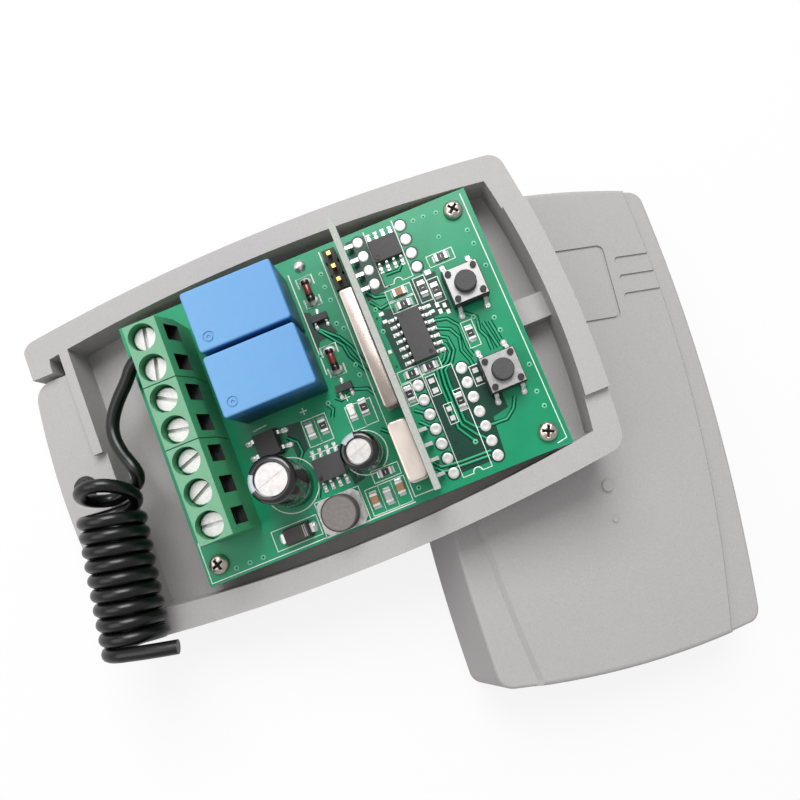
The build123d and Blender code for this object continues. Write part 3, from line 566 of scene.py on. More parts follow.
# Pieces on the board, in board millimetres
# a piece of the finished model; place takes its mesh to metres
def keepPiece(name, mesh, stands=(), body="tray", place=boardPlace):
    mesh.transform(place)
    piece = addObject(name, mesh)
    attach(piece, body)
    if stands:
        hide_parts(*stands)


# what an object's modifier makes, as a mesh of its own
def settled(holder):
    graph = bpy.context.evaluated_depsgraph_get()
    made = bpy.data.meshes.new_from_object(holder.evaluated_get(graph), depsgraph=graph)
    holder.modifiers.clear()
    bpy.data.objects.remove(holder)
    return made


# a geometry tree with its named inputs
def newTree(name, inputs):
    tree = bpy.data.node_groups.new(name, "GeometryNodeTree")
    tree.interface.new_socket("Geometry", in_out="INPUT", socket_type="NodeSocketGeometry")
    tree.interface.new_socket("Geometry", in_out="OUTPUT", socket_type="NodeSocketGeometry")
    for label, kind, value in inputs:
        socket = tree.interface.new_socket(label, in_out="INPUT", socket_type="NodeSocket" + kind)
        if value is not None:
            socket.default_value = value
    graph = Graph(tree)
    source = tree.nodes.new("NodeGroupInput")
    given = {out.name: Value(tree, out) for out in source.outputs if out.name}
    return graph, given


def endTree(graph, geometry, finish):
    realized = graph.node("GeometryNodeRealizeInstances", {}, {"Geometry": geometry})
    painted = graph.node("GeometryNodeSetMaterial", {}, {"Geometry": realized, "Material": finish})
    out = graph.tree.nodes.new("NodeGroupOutput")
    graph.tree.links.new(painted.out, out.inputs[0])
    return graph.tree


# a flat ribbon along every chain of edges
def ribbonTree():
    graph, given = newTree("ribbon", [("Width", "Float", 0.3), ("Thickness", "Float", 0.06),
                                      ("Finish", "Material", None)])
    curve = graph.node("GeometryNodeMeshToCurve", {}, {"Mesh": given["Geometry"]})
    level = graph.node("GeometryNodeSetCurveNormal", {"mode": "Z_UP"}, {"Curve": curve})
    sizes = {"Width": given["Width"], "Height": given["Thickness"]}
    profile = graph.node("GeometryNodeCurvePrimitiveQuadrilateral", {}, sizes)
    sockets = {"Curve": level, "Profile Curve": profile, "Fill Caps": True}
    ribbon = graph.node("GeometryNodeCurveToMesh", {}, sockets)
    return endTree(graph, ribbon, given["Finish"])


# a template on every point, turned and stretched by the points' attributes, a little uneven by Jitter
def scatterTree():
    graph, given = newTree("scatter", [("Piece", "Object", None), ("Finish", "Material", None),
                                       ("Jitter", "Float", 0.0), ("Seed", "Int", 1)])
    piece = graph.node("GeometryNodeObjectInfo", {}, {"Object": given["Piece"]}, "Geometry")
    vector = {"data_type": "FLOAT_VECTOR"}
    turn = graph.node("GeometryNodeInputNamedAttribute", vector, {"Name": "turn"})
    stretch = graph.node("GeometryNodeInputNamedAttribute", vector, {"Name": "stretch"})
    chance = graph.node("FunctionNodeRandomValue", {}, {2: -1.0, 3: 1.0, "Seed": given["Seed"]}, 1)
    uneven = 1.0 + chance * given["Jitter"]
    stretch = graph.node("ShaderNodeVectorMath", {"operation": "SCALE"}, {0: stretch, "Scale": uneven})
    turn = graph.node("FunctionNodeEulerToRotation", {}, {0: turn})
    sockets = {"Points": given["Geometry"], "Instance": piece, "Rotation": turn, "Scale": stretch}
    placed = graph.node("GeometryNodeInstanceOnPoints", {}, sockets)
    return endTree(graph, placed, given["Finish"])


def runTree(tree, mesh, values):
    holder = addObject("holder", mesh)
    modifier = holder.modifiers.new("build", "NODES")
    modifier.node_group = tree
    labels = {item.name: item.identifier for item in tree.interface.items_tree if item.in_out == "INPUT"}
    for label, value in values.items():
        modifier[labels[label]] = value
    return settled(holder)


# open or closed lines as a print that stands as high as the level says
def ribbons(name, lines, width, level, finishName):
    mesh = bpy.data.meshes.new(name)
    points, edges = [], []
    for line in lines:
        closed = line[0] == line[-1]
        first = len(points)
        own = line[:-1] if closed else line
        points += [(x, y, 0) for x, y in own]
        edges += [(first + i, first + i + 1) for i in range(len(own) - 1)]
        if closed:
            edges.append((first + len(own) - 1, first))
    mesh.from_pydata(points, edges, [])
    values = {"Width": width, "Thickness": 2 * level, "Finish": finishes[finishName]}
    keepPiece(name, runTree(ribbonMaker, mesh, values))


# places hold x, y, z, the turn about Z in degrees and how far the template is stretched
def scatter(name, template, places, finishName, jitter=0.0, seed=1, stands=()):
    mesh = bpy.data.meshes.new(name)
    mesh.from_pydata([place[:3] for place in places], [], [])
    turns = mesh.attributes.new("turn", "FLOAT_VECTOR", "POINT")
    stretches = mesh.attributes.new("stretch", "FLOAT_VECTOR", "POINT")
    for i, place in enumerate(places):
        turns.data[i].vector = (0, 0, math.radians(place[3]) if len(place) > 3 else 0)
        stretches.data[i].vector = place[4] if len(place) > 4 else (1, 1, 1)
    model = addObject("template", template)
    values = {"Piece": model, "Finish": finishes[finishName], "Jitter": jitter, "Seed": seed}
    made = runTree(scatterMaker, mesh, values)
    bpy.data.objects.remove(model)
    keepPiece(name, made, stands)


ribbonMaker = ribbonTree()
scatterMaker = scatterTree()


# a finished bmesh as a mesh
def meshFrom(bm, name):
    mesh = bpy.data.meshes.new(name)
    bm.to_mesh(mesh)
    bm.free()
    return mesh


# smooth faces, with edges that turn by more than the angle left sharp
def smoothed(mesh, angle=40):
    for face in mesh.polygons:
        face.use_smooth = True
    mesh.set_sharp_from_angle(angle=math.radians(angle))
    return mesh


# what is left of a mesh after a cutter, which is used up
def cutMesh(mesh, cutter):
    body = addObject("body", mesh)
    tool = addObject("tool", cutter)
    modifier = body.modifiers.new("cut", "BOOLEAN")
    modifier.object = tool
    modifier.solver = "EXACT"
    made = settled(body)
    bpy.data.objects.remove(tool)
    return made


# a box with broken edges, whose top may be narrower
def boxMesh(x, y, z, edge, draft=0.0, low=0.0):
    bm = bmesh.new()
    bmesh.ops.create_cube(bm, size=1)
    for vert in bm.verts:
        narrow = draft if vert.co.z > 0 else 0.0
        vert.co.x *= x - 2 * narrow
        vert.co.y *= y - 2 * narrow
        vert.co.z = low + (vert.co.z + 0.5) * z
    bmesh.ops.bevel(bm, geom=bm.edges[:], offset=edge, segments=2, affect="EDGES")
    return meshFrom(bm, "box")


# a skin over rings of corners from bottom to top, closed at both ends
def skinned(bm, rings):
    count = len(rings[0])
    for low, high in zip(rings, rings[1:]):
        for i in range(count):
            bm.faces.new((low[i], low[(i + 1) % count], high[(i + 1) % count], high[i]))
    bm.faces.new(rings[0][::-1])
    bm.faces.new(rings[-1])


# a round form from radius and height pairs, laid down by a matrix where one is given
def roundMesh(profile, sides, turn=None):
    bm = bmesh.new()
    rings = []
    for radius, height in profile:
        angles = [2 * math.pi * i / sides for i in range(sides)]
        rings.append([bm.verts.new((radius * math.cos(a), radius * math.sin(a), height)) for a in angles])
    skinned(bm, rings)
    if turn:
        bmesh.ops.transform(bm, matrix=turn, verts=bm.verts)
    bmesh.ops.recalc_face_normals(bm, faces=bm.faces)
    mesh = meshFrom(bm, "round")
    for face in mesh.polygons:
        face.use_smooth = len(face.vertices) == 4
    return mesh


# a plate cut from an outline in X and Z, as wide as it is told along Y
def bentMesh(outline, width):
    bm = bmesh.new()
    sides = [[bm.verts.new((x, y, z)) for x, z in outline] for y in (-width / 2, width / 2)]
    bm.faces.new(sides[0])
    bm.faces.new(sides[1][::-1])
    count = len(outline)
    for i in range(count):
        bm.faces.new((sides[0][i], sides[1][i], sides[1][(i + 1) % count], sides[0][(i + 1) % count]))
    bmesh.ops.recalc_face_normals(bm, faces=bm.faces)
    bmesh.ops.bevel(bm, geom=bm.edges[:], offset=0.03, segments=1, affect="EDGES")
    return meshFrom(bm, "bent")


# a flat sheet that stands as high as the level says
def slabMesh(outline, level):
    bm = bmesh.new()
    face = bm.faces.new([bm.verts.new((x, y, -level)) for x, y in outline])
    lifted = bmesh.ops.extrude_face_region(bm, geom=[face])["geom"]
    corners = [part for part in lifted if isinstance(part, bmesh.types.BMVert)]
    bmesh.ops.translate(bm, vec=(0, 0, 2 * level), verts=corners)
    bmesh.ops.recalc_face_normals(bm, faces=bm.faces)
    return meshFrom(bm, "slab")


def rectangle(left, low, right, high):
    return [(left, low), (right, low), (right, high), (left, high), (left, low)]


bracketHalves = (1.32, 1.4)  # drawn twice for a thick line


# three sides of a frame round one end of a part
def bracket(middle, end, reach):
    return [[(middle - half, end + reach), (middle - half, end), (middle + half, end),
             (middle + half, end + reach)] for half in bracketHalves]


def arc(middle, radius, start, stop, steps=12):
    angles = [math.radians(start + (stop - start) * i / steps) for i in range(steps + 1)]
    return [(middle[0] + radius * math.cos(a), middle[1] + radius * math.sin(a)) for a in angles]


def circleLine(middle, radius):
    ring = arc(middle, radius, 0, 360, 40)
    return ring[:-1] + [ring[0]]


# What is printed and etched on the board
# a level is how far a print stands above it, and a round form is radius and height pairs
printing = {
    "levels": {"bare": 0.012, "clearance": 0.02, "track": 0.03, "ink": 0.036},
    "trackWidth": 0.34, "clearanceWidth": 0.74, "inkWidth": 0.19, "padPitch": 2.54,
    "padClearance": 1.2, "sunk": 0.01, "landThick": 0.12,
    "pad": [(0.9, -0.02), (0.93, 0.04), (0.88, 0.08), (0.66, 0.12), (0.42, 0.1), (0.14, 0.08)],
    "via": [(0.42, -0.01), (0.44, 0.03), (0.4, 0.05), (0.2, 0.05)],
    "holeShade": [(0.17, 0.0), (0.17, 0.056)],
    "padRows": ((43.06, 17.7, 7), (50.68, 17.7, 7), (42.74, 43.8, 4), (50.36, 43.8, 4)),
    "bare": [
        [(44.0, 2.0), (51.8, 2.0), (52.4, 8.4), (55.2, 9.0), (55.0, 16.6), (52.0, 17.8), (50.2, 18.4),
         (44.0, 18.4)],
        [(41.6, 20.9), (44.2, 20.9), (44.2, 31.2), (42.2, 31.6), (41.2, 29.0)],
        [(47.8, 21.4), (49.6, 22.0), (49.8, 27.2), (53.0, 27.4), (52.8, 34.4), (48.4, 34.6), (47.8, 31.6)],
        [(40.7, 33.8), (44.4, 34.6), (44.4, 44.6), (40.8, 44.6)],
        [(20.6, 13.6), (22.8, 15.0), (22.9, 19.6), (20.2, 19.8)],
        [(27.6, 6.6), (29.6, 7.0), (28.6, 13.8), (27.2, 13.4)],
        [(29.7, 36.4), (31.1, 35.8), (31.2, 34.8), (33.4, 33.2), (34.2, 31.0), (30.8, 30.6), (29.7, 28.4)],
    ],
    "tracks": [
        [(48.9, 24.2), (50.5, 23.2), (50.7, 20.9), (49.6, 19.3), (48.1, 18.4), (47.9, 16.0), (47.9, 9.6),
         (49.3, 7.8), (50.7, 7.6)],
        [(48.9, 22.9), (49.8, 22.3), (50.0, 20.9), (49.1, 19.7), (47.5, 18.7), (47.2, 16.2), (47.2, 9.2),
         (48.9, 6.8), (50.4, 5.4)],
        [(48.7, 21.7), (49.3, 21.2), (48.6, 20.1), (46.9, 19.2), (46.5, 16.4), (46.5, 8.8), (48.2, 6.0)],
        [(48.9, 25.5), (51.4, 24.4), (52.3, 22.6), (51.8, 20.4), (52.5, 18.4), (52.6, 17.4)],
        [(48.9, 26.8), (51.6, 26.2), (53.0, 24.4), (52.9, 20.6), (53.3, 18.8)],
        [(54.5, 26.1), (56.2, 24.6), (55.8, 22.4), (56.5, 20.8), (56.5, 18.6)],
        [(56.8, 23.4), (57.6, 18.6)],
        [(57.9, 23.2), (58.5, 18.6)],
        [(40.7, 5.2), (41.6, 4.1), (44.9, 3.7), (50.0, 3.6)],
        [(40.7, 4.3), (41.8, 3.2), (49.6, 2.9)],
        [(51.6, 7.4), (54.3, 7.3), (55.9, 8.5), (56.8, 10.2)],
        [(30.9, 33.2), (34.1, 30.1), (35.3, 28.0), (36.5, 24.2)],
        [(31.3, 32.4), (34.2, 28.6), (34.5, 26.6), (36.4, 22.8)],
        [(41.0, 14.2), (42.9, 12.7)],
        [(41.0, 12.2), (42.9, 10.2)],
        [(41.0, 33.6), (42.2, 31.9), (44.0, 32.3)],
        [(41.0, 35.4), (42.0, 34.0), (43.8, 33.6)],
        [(45.1, 36.9), (47.4, 36.8), (48.5, 38.0)],
        [(29.8, 21.0), (30.6, 20.2), (33.0, 21.2), (35.3, 20.4), (36.0, 19.2)],
        [(27.4, 12.0), (28.6, 9.6), (28.6, 7.6)],
        [(20.0, 17.9), (21.4, 16.6), (21.6, 14.8), (20.6, 13.4)],
        [(34.8, 13.4), (36.2, 12.2), (36.6, 9.8), (36.2, 7.4)],
        [(22.0, 8.2), (21.4, 6.8)],
        [(28.2, 20.4), (28.8, 19.4), (28.2, 18.2)],
    ],
    "frames": [  # left, low, right, high
        (23.1, 14.9, 25.2, 19.4), (25.2, 14.9, 27.2, 19.4),
        (30.6, 14.7, 32.9, 18.9), (32.9, 14.8, 35.0, 18.9),
        (20.4, 0.4, 28.0, 6.3), (12.2, 1.3, 20.0, 4.6),
        (28.7, 0.8, 30.9, 5.2), (30.9, 0.8, 33.1, 5.2), (33.1, 0.8, 35.4, 5.2),
        (30.7, 5.6, 35.3, 7.6),
        (52.3, 35.1, 56.8, 37.1), (43.8, 32.3, 48.2, 34.2), (43.8, 30.2, 48.2, 32.1),
        (48.8, 30.1, 50.8, 34.5), (50.9, 29.2, 52.8, 33.4), (53.3, 20.1, 55.2, 24.6),
        (40.6, 18.9, 44.2, 20.9), (44.3, 19.1, 47.9, 20.9),
        (40.5, 15.0, 42.1, 18.7),
        (44.6, 15.1, 46.2, 18.5), (45.6, 9.8, 47.0, 13.2), (47.9, 11.2, 49.3, 14.8),
        (51.8, 14.0, 53.4, 17.4),
    ],
    "ink": [
        *bracket(32.15, 41.9, -1.7), *bracket(32.15, 36.5, 1.7),
        *bracket(31.7, 29.6, -1.7), *bracket(31.7, 24.2, 1.7),
        [(44.2, 45.2), (44.1, 35.0), *arc((46.6, 35.0), 0.75, 180, 0), (49.2, 35.0), (49.3, 45.2)],
        [(44.3, 19.0), (44.2, 1.2), *arc((46.8, 1.2), 0.75, 180, 0), (49.2, 1.2), (49.4, 19.0), (44.3, 19.0)],
        [(36.1, 44.9), (35.9, 1.3), (39.2, 1.3)],
        [(61.6, 45.0), (61.9, 1.0), (60.2, 0.7)],
        [(35.7, 0.5), (0.45, 0.5), (0.45, 7.4)],
        circleLine((18.0, 10.4), 4.5), circleLine((31.1, 10.8), 3.6),
        [(24.1, 20.3), (24.1, 21.5)], [(23.5, 20.9), (24.7, 20.9)],
        [(31.5, 19.7), (31.5, 20.9)], [(30.9, 20.3), (32.1, 20.3)],
        [(22.4, 13.6), (27.4, 13.6)], [(15.2, 20.9), (17.6, 21.1)],
        [(29.9, 43.2), (29.9, 25.0)],
    ],
    "vias": [(52.7, 43.7), (54.5, 43.7), (56.7, 43.5), (55.6, 39.5), (60.4, 38.7), (60.5, 36.2), (60.9, 32.0),
             (58.8, 23.4), (58.9, 21.1), (55.7, 24.8), (61.0, 14.1), (60.4, 9.6), (60.6, 7.0), (48.2, 5.8),
             (35.1, 41.2), (34.9, 38.9), (35.0, 36.5), (34.5, 32.4), (35.3, 31.2), (34.9, 24.8), (34.9, 23.0),
             (30.0, 28.4), (41.3, 32.1), (28.4, 20.6), (41.1, 28.2), (37.0, 2.4), (5.0, 1.4), (7.35, 1.4),
             (9.65, 1.4)],
    "holes": [(45.0, 9.3), (45.2, 6.8), (45.1, 4.8), (45.0, 2.8), (41.0, 21.9), (41.0, 30.6), (49.9, 35.4),
              (50.6, 35.0), (51.2, 35.6), (43.6, 35.6), (44.9, 34.9)],
    "lands": [  # bare tinned rectangles: x, y, length, width
        (45.4, 17.6, 0.9, 0.8), (45.4, 15.9, 0.9, 0.8), (46.3, 12.3, 0.8, 0.8), (46.3, 10.7, 0.8, 0.8),
        (52.6, 16.5, 0.9, 0.8), (52.6, 14.9, 0.9, 0.8), (49.5, 29.3, 0.9, 0.55), (49.8, 28.2, 0.9, 0.55),
        (51.0, 28.9, 0.6, 0.8), (51.1, 27.7, 0.6, 0.8), (52.1, 28.4, 0.6, 0.8), (52.3, 27.2, 0.6, 0.8),
        (41.9, 31.0, 0.8, 0.6), (42.0, 29.6, 0.8, 0.6), (51.6, 34.6, 1.0, 0.8), (40.9, 24.6, 0.6, 0.6),
    ],
}


def printBoard():
    levels = printing["levels"]
    for i, outline in enumerate(printing["bare"], 1):
        mesh = slabMesh(outline, levels["bare"])
        mesh.materials.append(finishes["gap"])
        keepPiece("bare_laminate_%d" % i, mesh)
    pitch = printing["padPitch"]
    pads = [(x, y - pitch * i, 0) for x, y, count in printing["padRows"] for i in range(count)]
    reach = printing["padClearance"]
    ring = roundMesh([(reach, -printing["sunk"]), (reach, levels["clearance"])], sides=24)
    scatter("pad_clearances", ring, pads, "gap")
    ribbons("track_clearances", printing["tracks"], printing["clearanceWidth"], levels["clearance"], "gap")
    ribbons("tracks", printing["tracks"], printing["trackWidth"], levels["track"], "track")
    ink = [rectangle(*sides) for sides in printing["frames"]] + printing["ink"]
    ribbons("silkscreen", ink, printing["inkWidth"], levels["ink"], "silk")
    pad = roundMesh(printing["pad"], sides=22)
    scatter("filled_pads", pad, pads, "solder", jitter=0.05, seed=3)
    vias = [(x, y, 0) for x, y in printing["vias"]]
    via = roundMesh(printing["via"], sides=14)
    scatter("vias", via, vias, "viaRing")
    # painted shade: a flat dark disc on each via and drilled hole
    holeShade = roundMesh(printing["holeShade"], sides=10)
    scatter("via_holes", holeShade, vias + [(x, y, 0) for x, y in printing["holes"]], "dark")
    lands = [(x, y, 0, 0, (long, wide, 1)) for x, y, long, wide in printing["lands"]]
    land = boxMesh(1, 1, printing["landThick"], edge=0.02)
    scatter("bare_lands", land, lands, "solder", jitter=0.06, seed=5)
    print("board printed")


printBoard()


# Solder, leads and the small parts that repeat
# narrower and shorter are how much less than a part's whole width and length its body measures
smallParts = {
    "resistorsAcross": [(54.6, 36.2), (46.0, 31.15), (42.9, 19.9), (46.0, 19.9), (33.0, 6.7)],
    "resistorsUpright": [(49.85, 32.4), (51.75, 31.2), (54.2, 22.4), (41.3, 16.9), (48.5, 12.8), (33.6, 17.8),
                         (26.3, 17.5)],
    "brown": [(46.0, 33.3, 90), (29.8, 3.2, 0), (34.3, 3.6, 0)],
    "grey": [(32.05, 3.0, 0)],
    "lamps": [(31.5, 17.75, 0), (24.1, 17.5, 0)],
    "length": 2.0, "width": 1.25, "capLength": 0.42, "capIn": 0.2, "capOver": 0.05,
    "fillet": [(0, 0), (0.5, 0), (0.24, 0.1), (0.1, 0.24)], "filletIn": 0.02, "filletTop": 0.8,
    "filletWide": 0.96,
    "resistor": {"narrower": 0.06, "shorter": 0.5, "height": 0.45, "edge": 0.03},
    "glaze": {"narrower": 0.14, "length": 1.16, "thick": 0.08, "from": 0.44},
    "mark": {"size": (0.5, 0.12, 0.02), "from": 0.515},
    "capacitor": {"narrower": 0.04, "shorter": 0.4, "height": 0.85, "edge": 0.07},
    "lamp": {"narrower": 0.1, "shorter": 0.5, "height": 0.3, "edge": 0.03, "capOver": 0.02},
    "lens": {"narrower": 0.14, "length": 1.2, "thick": 0.4, "from": 0.28},
}


# a body of a kind on each spot, with a tinned cap that stands a little higher and solder at both its ends
def placeChips(name, spots, kind, bodyFinish, stands=()):
    part = smallParts[kind]
    length, width = smallParts["length"], smallParts["width"]
    body = boxMesh(width - part["narrower"], length - part["shorter"], part["height"], part["edge"])
    scatter(name, body, [(x, y, 0, turn) for x, y, turn in spots], bodyFinish, stands=stands)
    capHeight = part["height"] + part.get("capOver", smallParts["capOver"])
    cap = boxMesh(width, smallParts["capLength"], capHeight, edge=0.05)
    rise = smallParts["fillet"] + [(0, capHeight * smallParts["filletTop"])]
    fillet = bentMesh(rise, width * smallParts["filletWide"])
    caps, fillets = [], []
    for x, y, turn in spots:
        along = Vector((-math.sin(math.radians(turn)), math.cos(math.radians(turn)), 0))
        for side in (-1, 1):
            spot = Vector((x, y, 0)) + along * side * (length / 2 - smallParts["capIn"])
            foot = Vector((x, y, 0.02)) + along * side * (length / 2 - smallParts["filletIn"])
            caps.append((*spot, turn))
            fillets.append((*foot, turn + (90 if side > 0 else -90)))
    scatter(name + "_ends", cap, caps, "tin", jitter=0.02, seed=7)
    scatter(name + "_solder", fillet, fillets, "solder", jitter=0.08, seed=9)


# a coat of a kind on a part's body, with broken edges
def coatMesh(kind, edge, draft=0.0):
    coat = smallParts[kind]
    width = smallParts["width"] - coat["narrower"]
    return boxMesh(width, coat["length"], coat["thick"], edge, draft, coat["from"])


def makeSmallParts():
    resistors = [(x, y, 90) for x, y in smallParts["resistorsAcross"]]
    resistors += [(x, y, 0) for x, y in smallParts["resistorsUpright"]]
    placeChips("chip_resistor_bodies", resistors, "resistor", "alumina", ("chip_resistors",))
    tops = [(x, y, 0, turn) for x, y, turn in resistors]
    scatter("chip_resistor_tops", coatMesh("glaze", 0.03), tops, "glaze", jitter=0.02, seed=11)
    mark = boxMesh(*smallParts["mark"]["size"], edge=0.004, low=smallParts["mark"]["from"])
    scatter("chip_resistor_marks", mark, tops, "alumina")
    placeChips("chip_capacitor_bodies", smallParts["brown"], "capacitor", "ceramicBrown",
               ("chip_capacitors",))
    placeChips("grey_capacitor_body", smallParts["grey"], "capacitor", "ceramicGrey")
    placeChips("status_lamp_bases", smallParts["lamps"], "lamp", "alumina", ("status_leds",))
    lens = coatMesh("lens", 0.09, draft=0.08)
    scatter("status_lamp_lenses", lens, [(x, y, 0) for x, y, turn in smallParts["lamps"]], "lens")


glassDiodes = {
    "places": [(32.15, 39.2), (31.7, 26.9)],
    "axisHeight": 0.82, "sides": 18, "bandFrom": -1.0, "capReach": 1.45,
    "body": [(0.4, -1.1), (0.58, -1.06), (0.62, -0.8), (0.62, 0.8), (0.58, 1.06), (0.4, 1.1)],
    "band": [(0.5, 0), (0.64, 0.02), (0.64, 0.4), (0.5, 0.42)],
    "cap": [(0.4, -0.4), (0.66, -0.36), (0.7, -0.26), (0.7, 0.26), (0.66, 0.36), (0.4, 0.4)],
    "lump": [(1.02, -0.01), (1.0, 0.1), (0.8, 0.3), (0.4, 0.42), (0.1, 0.44)],
    "lumpOut": 0.25, "lumpStretch": (1.05, 0.78, 0.8),
}
transistors = {
    "places": [(32.2, 34.3), (31.8, 22.0)], "leads": ((0, 0.66, 90), (-0.95, -0.66, 270), (0.95, -0.66, 270)),
    "lead": [(-0.1, 0.62), (0.2, 0.62), (0.34, 0.18), (0.7, 0.18), (0.7, 0.04), (0.24, 0.04), (0.1, 0.48),
             (-0.1, 0.48)],
    "leadWidth": 0.42, "body": (1.34, 2.9, 1.0), "bodyDraft": 0.08, "bodyFrom": 0.1,
    "puddle": [(0.42, -0.01), (0.42, 0.08), (0.3, 0.15), (0.1, 0.18)], "puddleOut": 0.62,
    "puddleStretch": (1.25, 0.85, 1),
}


def makeGlassDiodes():
    lying = Matrix.Translation((0, 0, glassDiodes["axisHeight"])) @ Matrix.Rotation(math.radians(-90), 4, "X")
    glass = roundMesh(glassDiodes["body"], glassDiodes["sides"], lying)
    band = roundMesh(glassDiodes["band"], glassDiodes["sides"], lying)
    cap = roundMesh(glassDiodes["cap"], glassDiodes["sides"], lying)
    spots = [(x, y, 0) for x, y in glassDiodes["places"]]
    scatter("glass_diode_bodies", glass, spots, "glass", stands=("glass_diodes",))
    bands = [(x, y + glassDiodes["bandFrom"], z) for x, y, z in spots]
    scatter("glass_diode_bands", band, bands, "black")
    ends = [(x, y + side * glassDiodes["capReach"], side) for x, y, z in spots for side in (-1, 1)]
    scatter("glass_diode_caps", cap, [(x, y, 0) for x, y, side in ends], "glassEnd")
    lumps = [(x, y + glassDiodes["lumpOut"] * side, 0, 0, glassDiodes["lumpStretch"]) for x, y, side in ends]
    lump = roundMesh(glassDiodes["lump"], sides=16)
    scatter("glass_diode_solder", lump, lumps, "solder", jitter=0.05, seed=13)


def makeTransistors():
    body = boxMesh(*transistors["body"], edge=0.05, draft=transistors["bodyDraft"],
                   low=transistors["bodyFrom"])
    spots = [(x, y, 0, 90) for x, y in transistors["places"]]
    scatter("transistor_bodies", body, spots, "package", stands=("transistors",))
    leads = [(x + right, y + up, 0, turn) for x, y in transistors["places"]
             for right, up, turn in transistors["leads"]]
    lead = bentMesh(transistors["lead"], transistors["leadWidth"])
    scatter("transistor_leads", lead, leads, "tin")
    puddle = roundMesh(transistors["puddle"], sides=12)
    feet = [(x, y + transistors["puddleOut"] * math.sin(math.radians(turn)), 0, turn,
             transistors["puddleStretch"]) for x, y, z, turn in leads]
    scatter("transistor_solder", puddle, feet, "solder", jitter=0.08, seed=15)


chipLegs = {
    "pitch": 1.27, "landAt": 2.8, "beadOut": 0.28, "land": (1.5, 0.62, 0.08),
    "bead": [(0.34, -0.01), (0.34, 0.1), (0.26, 0.2), (0.1, 0.24)],
    "dimple": [(0.3, 0), (0.3, 0.012), (0.24, 0.014), (0.2, 0.004)], "dimpleHeight": 1.6,
}


# lands, solder and the dimple of each chip
def solderChips():
    land = boxMesh(*chipLegs["land"], edge=0.02)
    bead = roundMesh(chipLegs["bead"], sides=12)
    lands, beads = [], []
    for chip in chips.values():
        turn = chip["turn"]
        across = Vector((math.cos(math.radians(turn)), math.sin(math.radians(turn)), 0))
        along = Vector((-across.y, across.x, 0))
        for i in range(chip["perSide"]):
            step = (i - (chip["perSide"] - 1) / 2) * chipLegs["pitch"]
            for side in (-1, 1):
                foot = Vector((*chip["place"], 0)) + along * step + across * side * chipLegs["landAt"]
                lands.append((*foot, turn))
                beads.append((*(foot + across * side * chipLegs["beadOut"]), turn))
    scatter("chip_lands", land, lands, "solder", jitter=0.03, seed=17)
    scatter("chip_solder", bead, beads, "solder", jitter=0.1, seed=19)
    dimple = roundMesh(chipLegs["dimple"], sides=18)
    tops = [Vector((*chip["place"], 0)) + Vector((*chip["dimple"], chipLegs["dimpleHeight"]))
            for chip in chips.values()]
    scatter("chip_dimples", dimple, tops, "dimple")


footLump = [(1.0, -0.01), (1.0, 0.14), (0.7, 0.42), (0.3, 0.6), (0.1, 0.62)]  # stretched for each foot


# solder on the feet of the rectifier, the power diode and the switches, and the diode's printed bars
def solderFeet():
    lump = roundMesh(footLump, sides=16)
    lumps = []
    for part in (bridge, powerDiode, *switches):
        x, y = part["place"]
        reach, rows = part["feet"]
        lumps += [(x + side * reach, y + row, 0, 0, part["lump"]) for side in (-1, 1) for row in rows]
    scatter("lead_solder", lump, lumps, "solder", jitter=0.06, seed=21)
    bar = boxMesh(*powerDiode["bar"], edge=0.004, low=powerDiode["top"])
    x, y = powerDiode["place"]
    scatter("power_diode_bar", bar, [(x + out, y, 0) for out in powerDiode["bars"]], "ceramicGrey")


makeSmallParts()
makeGlassDiodes()
makeTransistors()
solderChips()
solderFeet()
print("small parts placed")


# Metal cans on the module, capacitors, screws and terminal blocks
cans = {
    "crystal": {"node": "crystal_can", "finish": "crystal", "place": (37.8, 8.3), "size": (3.15, 9.5),
                "corner": 0.8,
                "rings": ((1.1, 0.0), (1.1, -0.25), (1.5, -0.25), (1.55, 0.0), (8.5, 0.0), (8.68, 0.05),
                          (8.78, 0.15), (8.8, 0.3))},
    "shield": {"node": "module_can", "finish": "can", "place": (38.22, 24.4), "size": (2.34, 18.9),
               "corner": 0.5,
               "rings": ((3.4, 0.0), (11.66, 0.0), (11.85, 0.05), (11.96, 0.15), (12.0, 0.3))},
}
boardScrews = {"places": ((2.6, 3.0), (59.45, 3.0), (59.45, 42.74)), "turns": (20, 65, 40), "radius": 1.62,
               "height": 1.15, "crown": ((1.0, 0.3), (0.93, 0.62), (0.72, 0.86), (0.4, 0.97), (0.1, 1.0)),
               "recess": 0.7, "recessWidth": 0.4, "recessLength": 1.9, "cutTall": 1.2, "shank": (1.05, -5.0)}


# a can with round corners; every ring is a height and how far it stands in from the size
def canMesh(can):
    bm = bmesh.new()
    corners = ((1, 1, 0), (-1, 1, 90), (-1, -1, 180), (1, -1, 270))
    rings = []
    for height, inset in can["rings"]:
        halfX, halfY = can["size"][0] / 2 - inset, can["size"][1] / 2 - inset
        radius = max(can["corner"] - inset, 0.15)
        outline = []
        for sideX, sideY, start in corners:
            middle = (sideX * (halfX - radius), sideY * (halfY - radius))
            outline += arc(middle, radius, start, start + 90, 7)
        rings.append([bm.verts.new((can["place"][0] + x, can["place"][1] + y, height)) for x, y in outline])
    skinned(bm, rings)
    bmesh.ops.recalc_face_normals(bm, faces=bm.faces)
    return smoothed(meshFrom(bm, "can"))


def makeCans():
    for name, can in cans.items():
        mesh = canMesh(can)
        mesh.materials.append(finishes[can["finish"]])
        keepPiece(name + "_shell", mesh, (can["node"],))


scores = {"share": 1.8, "width": 0.12, "depth": 0.36, "cutTall": 0.5, "turns": (18, 108)}


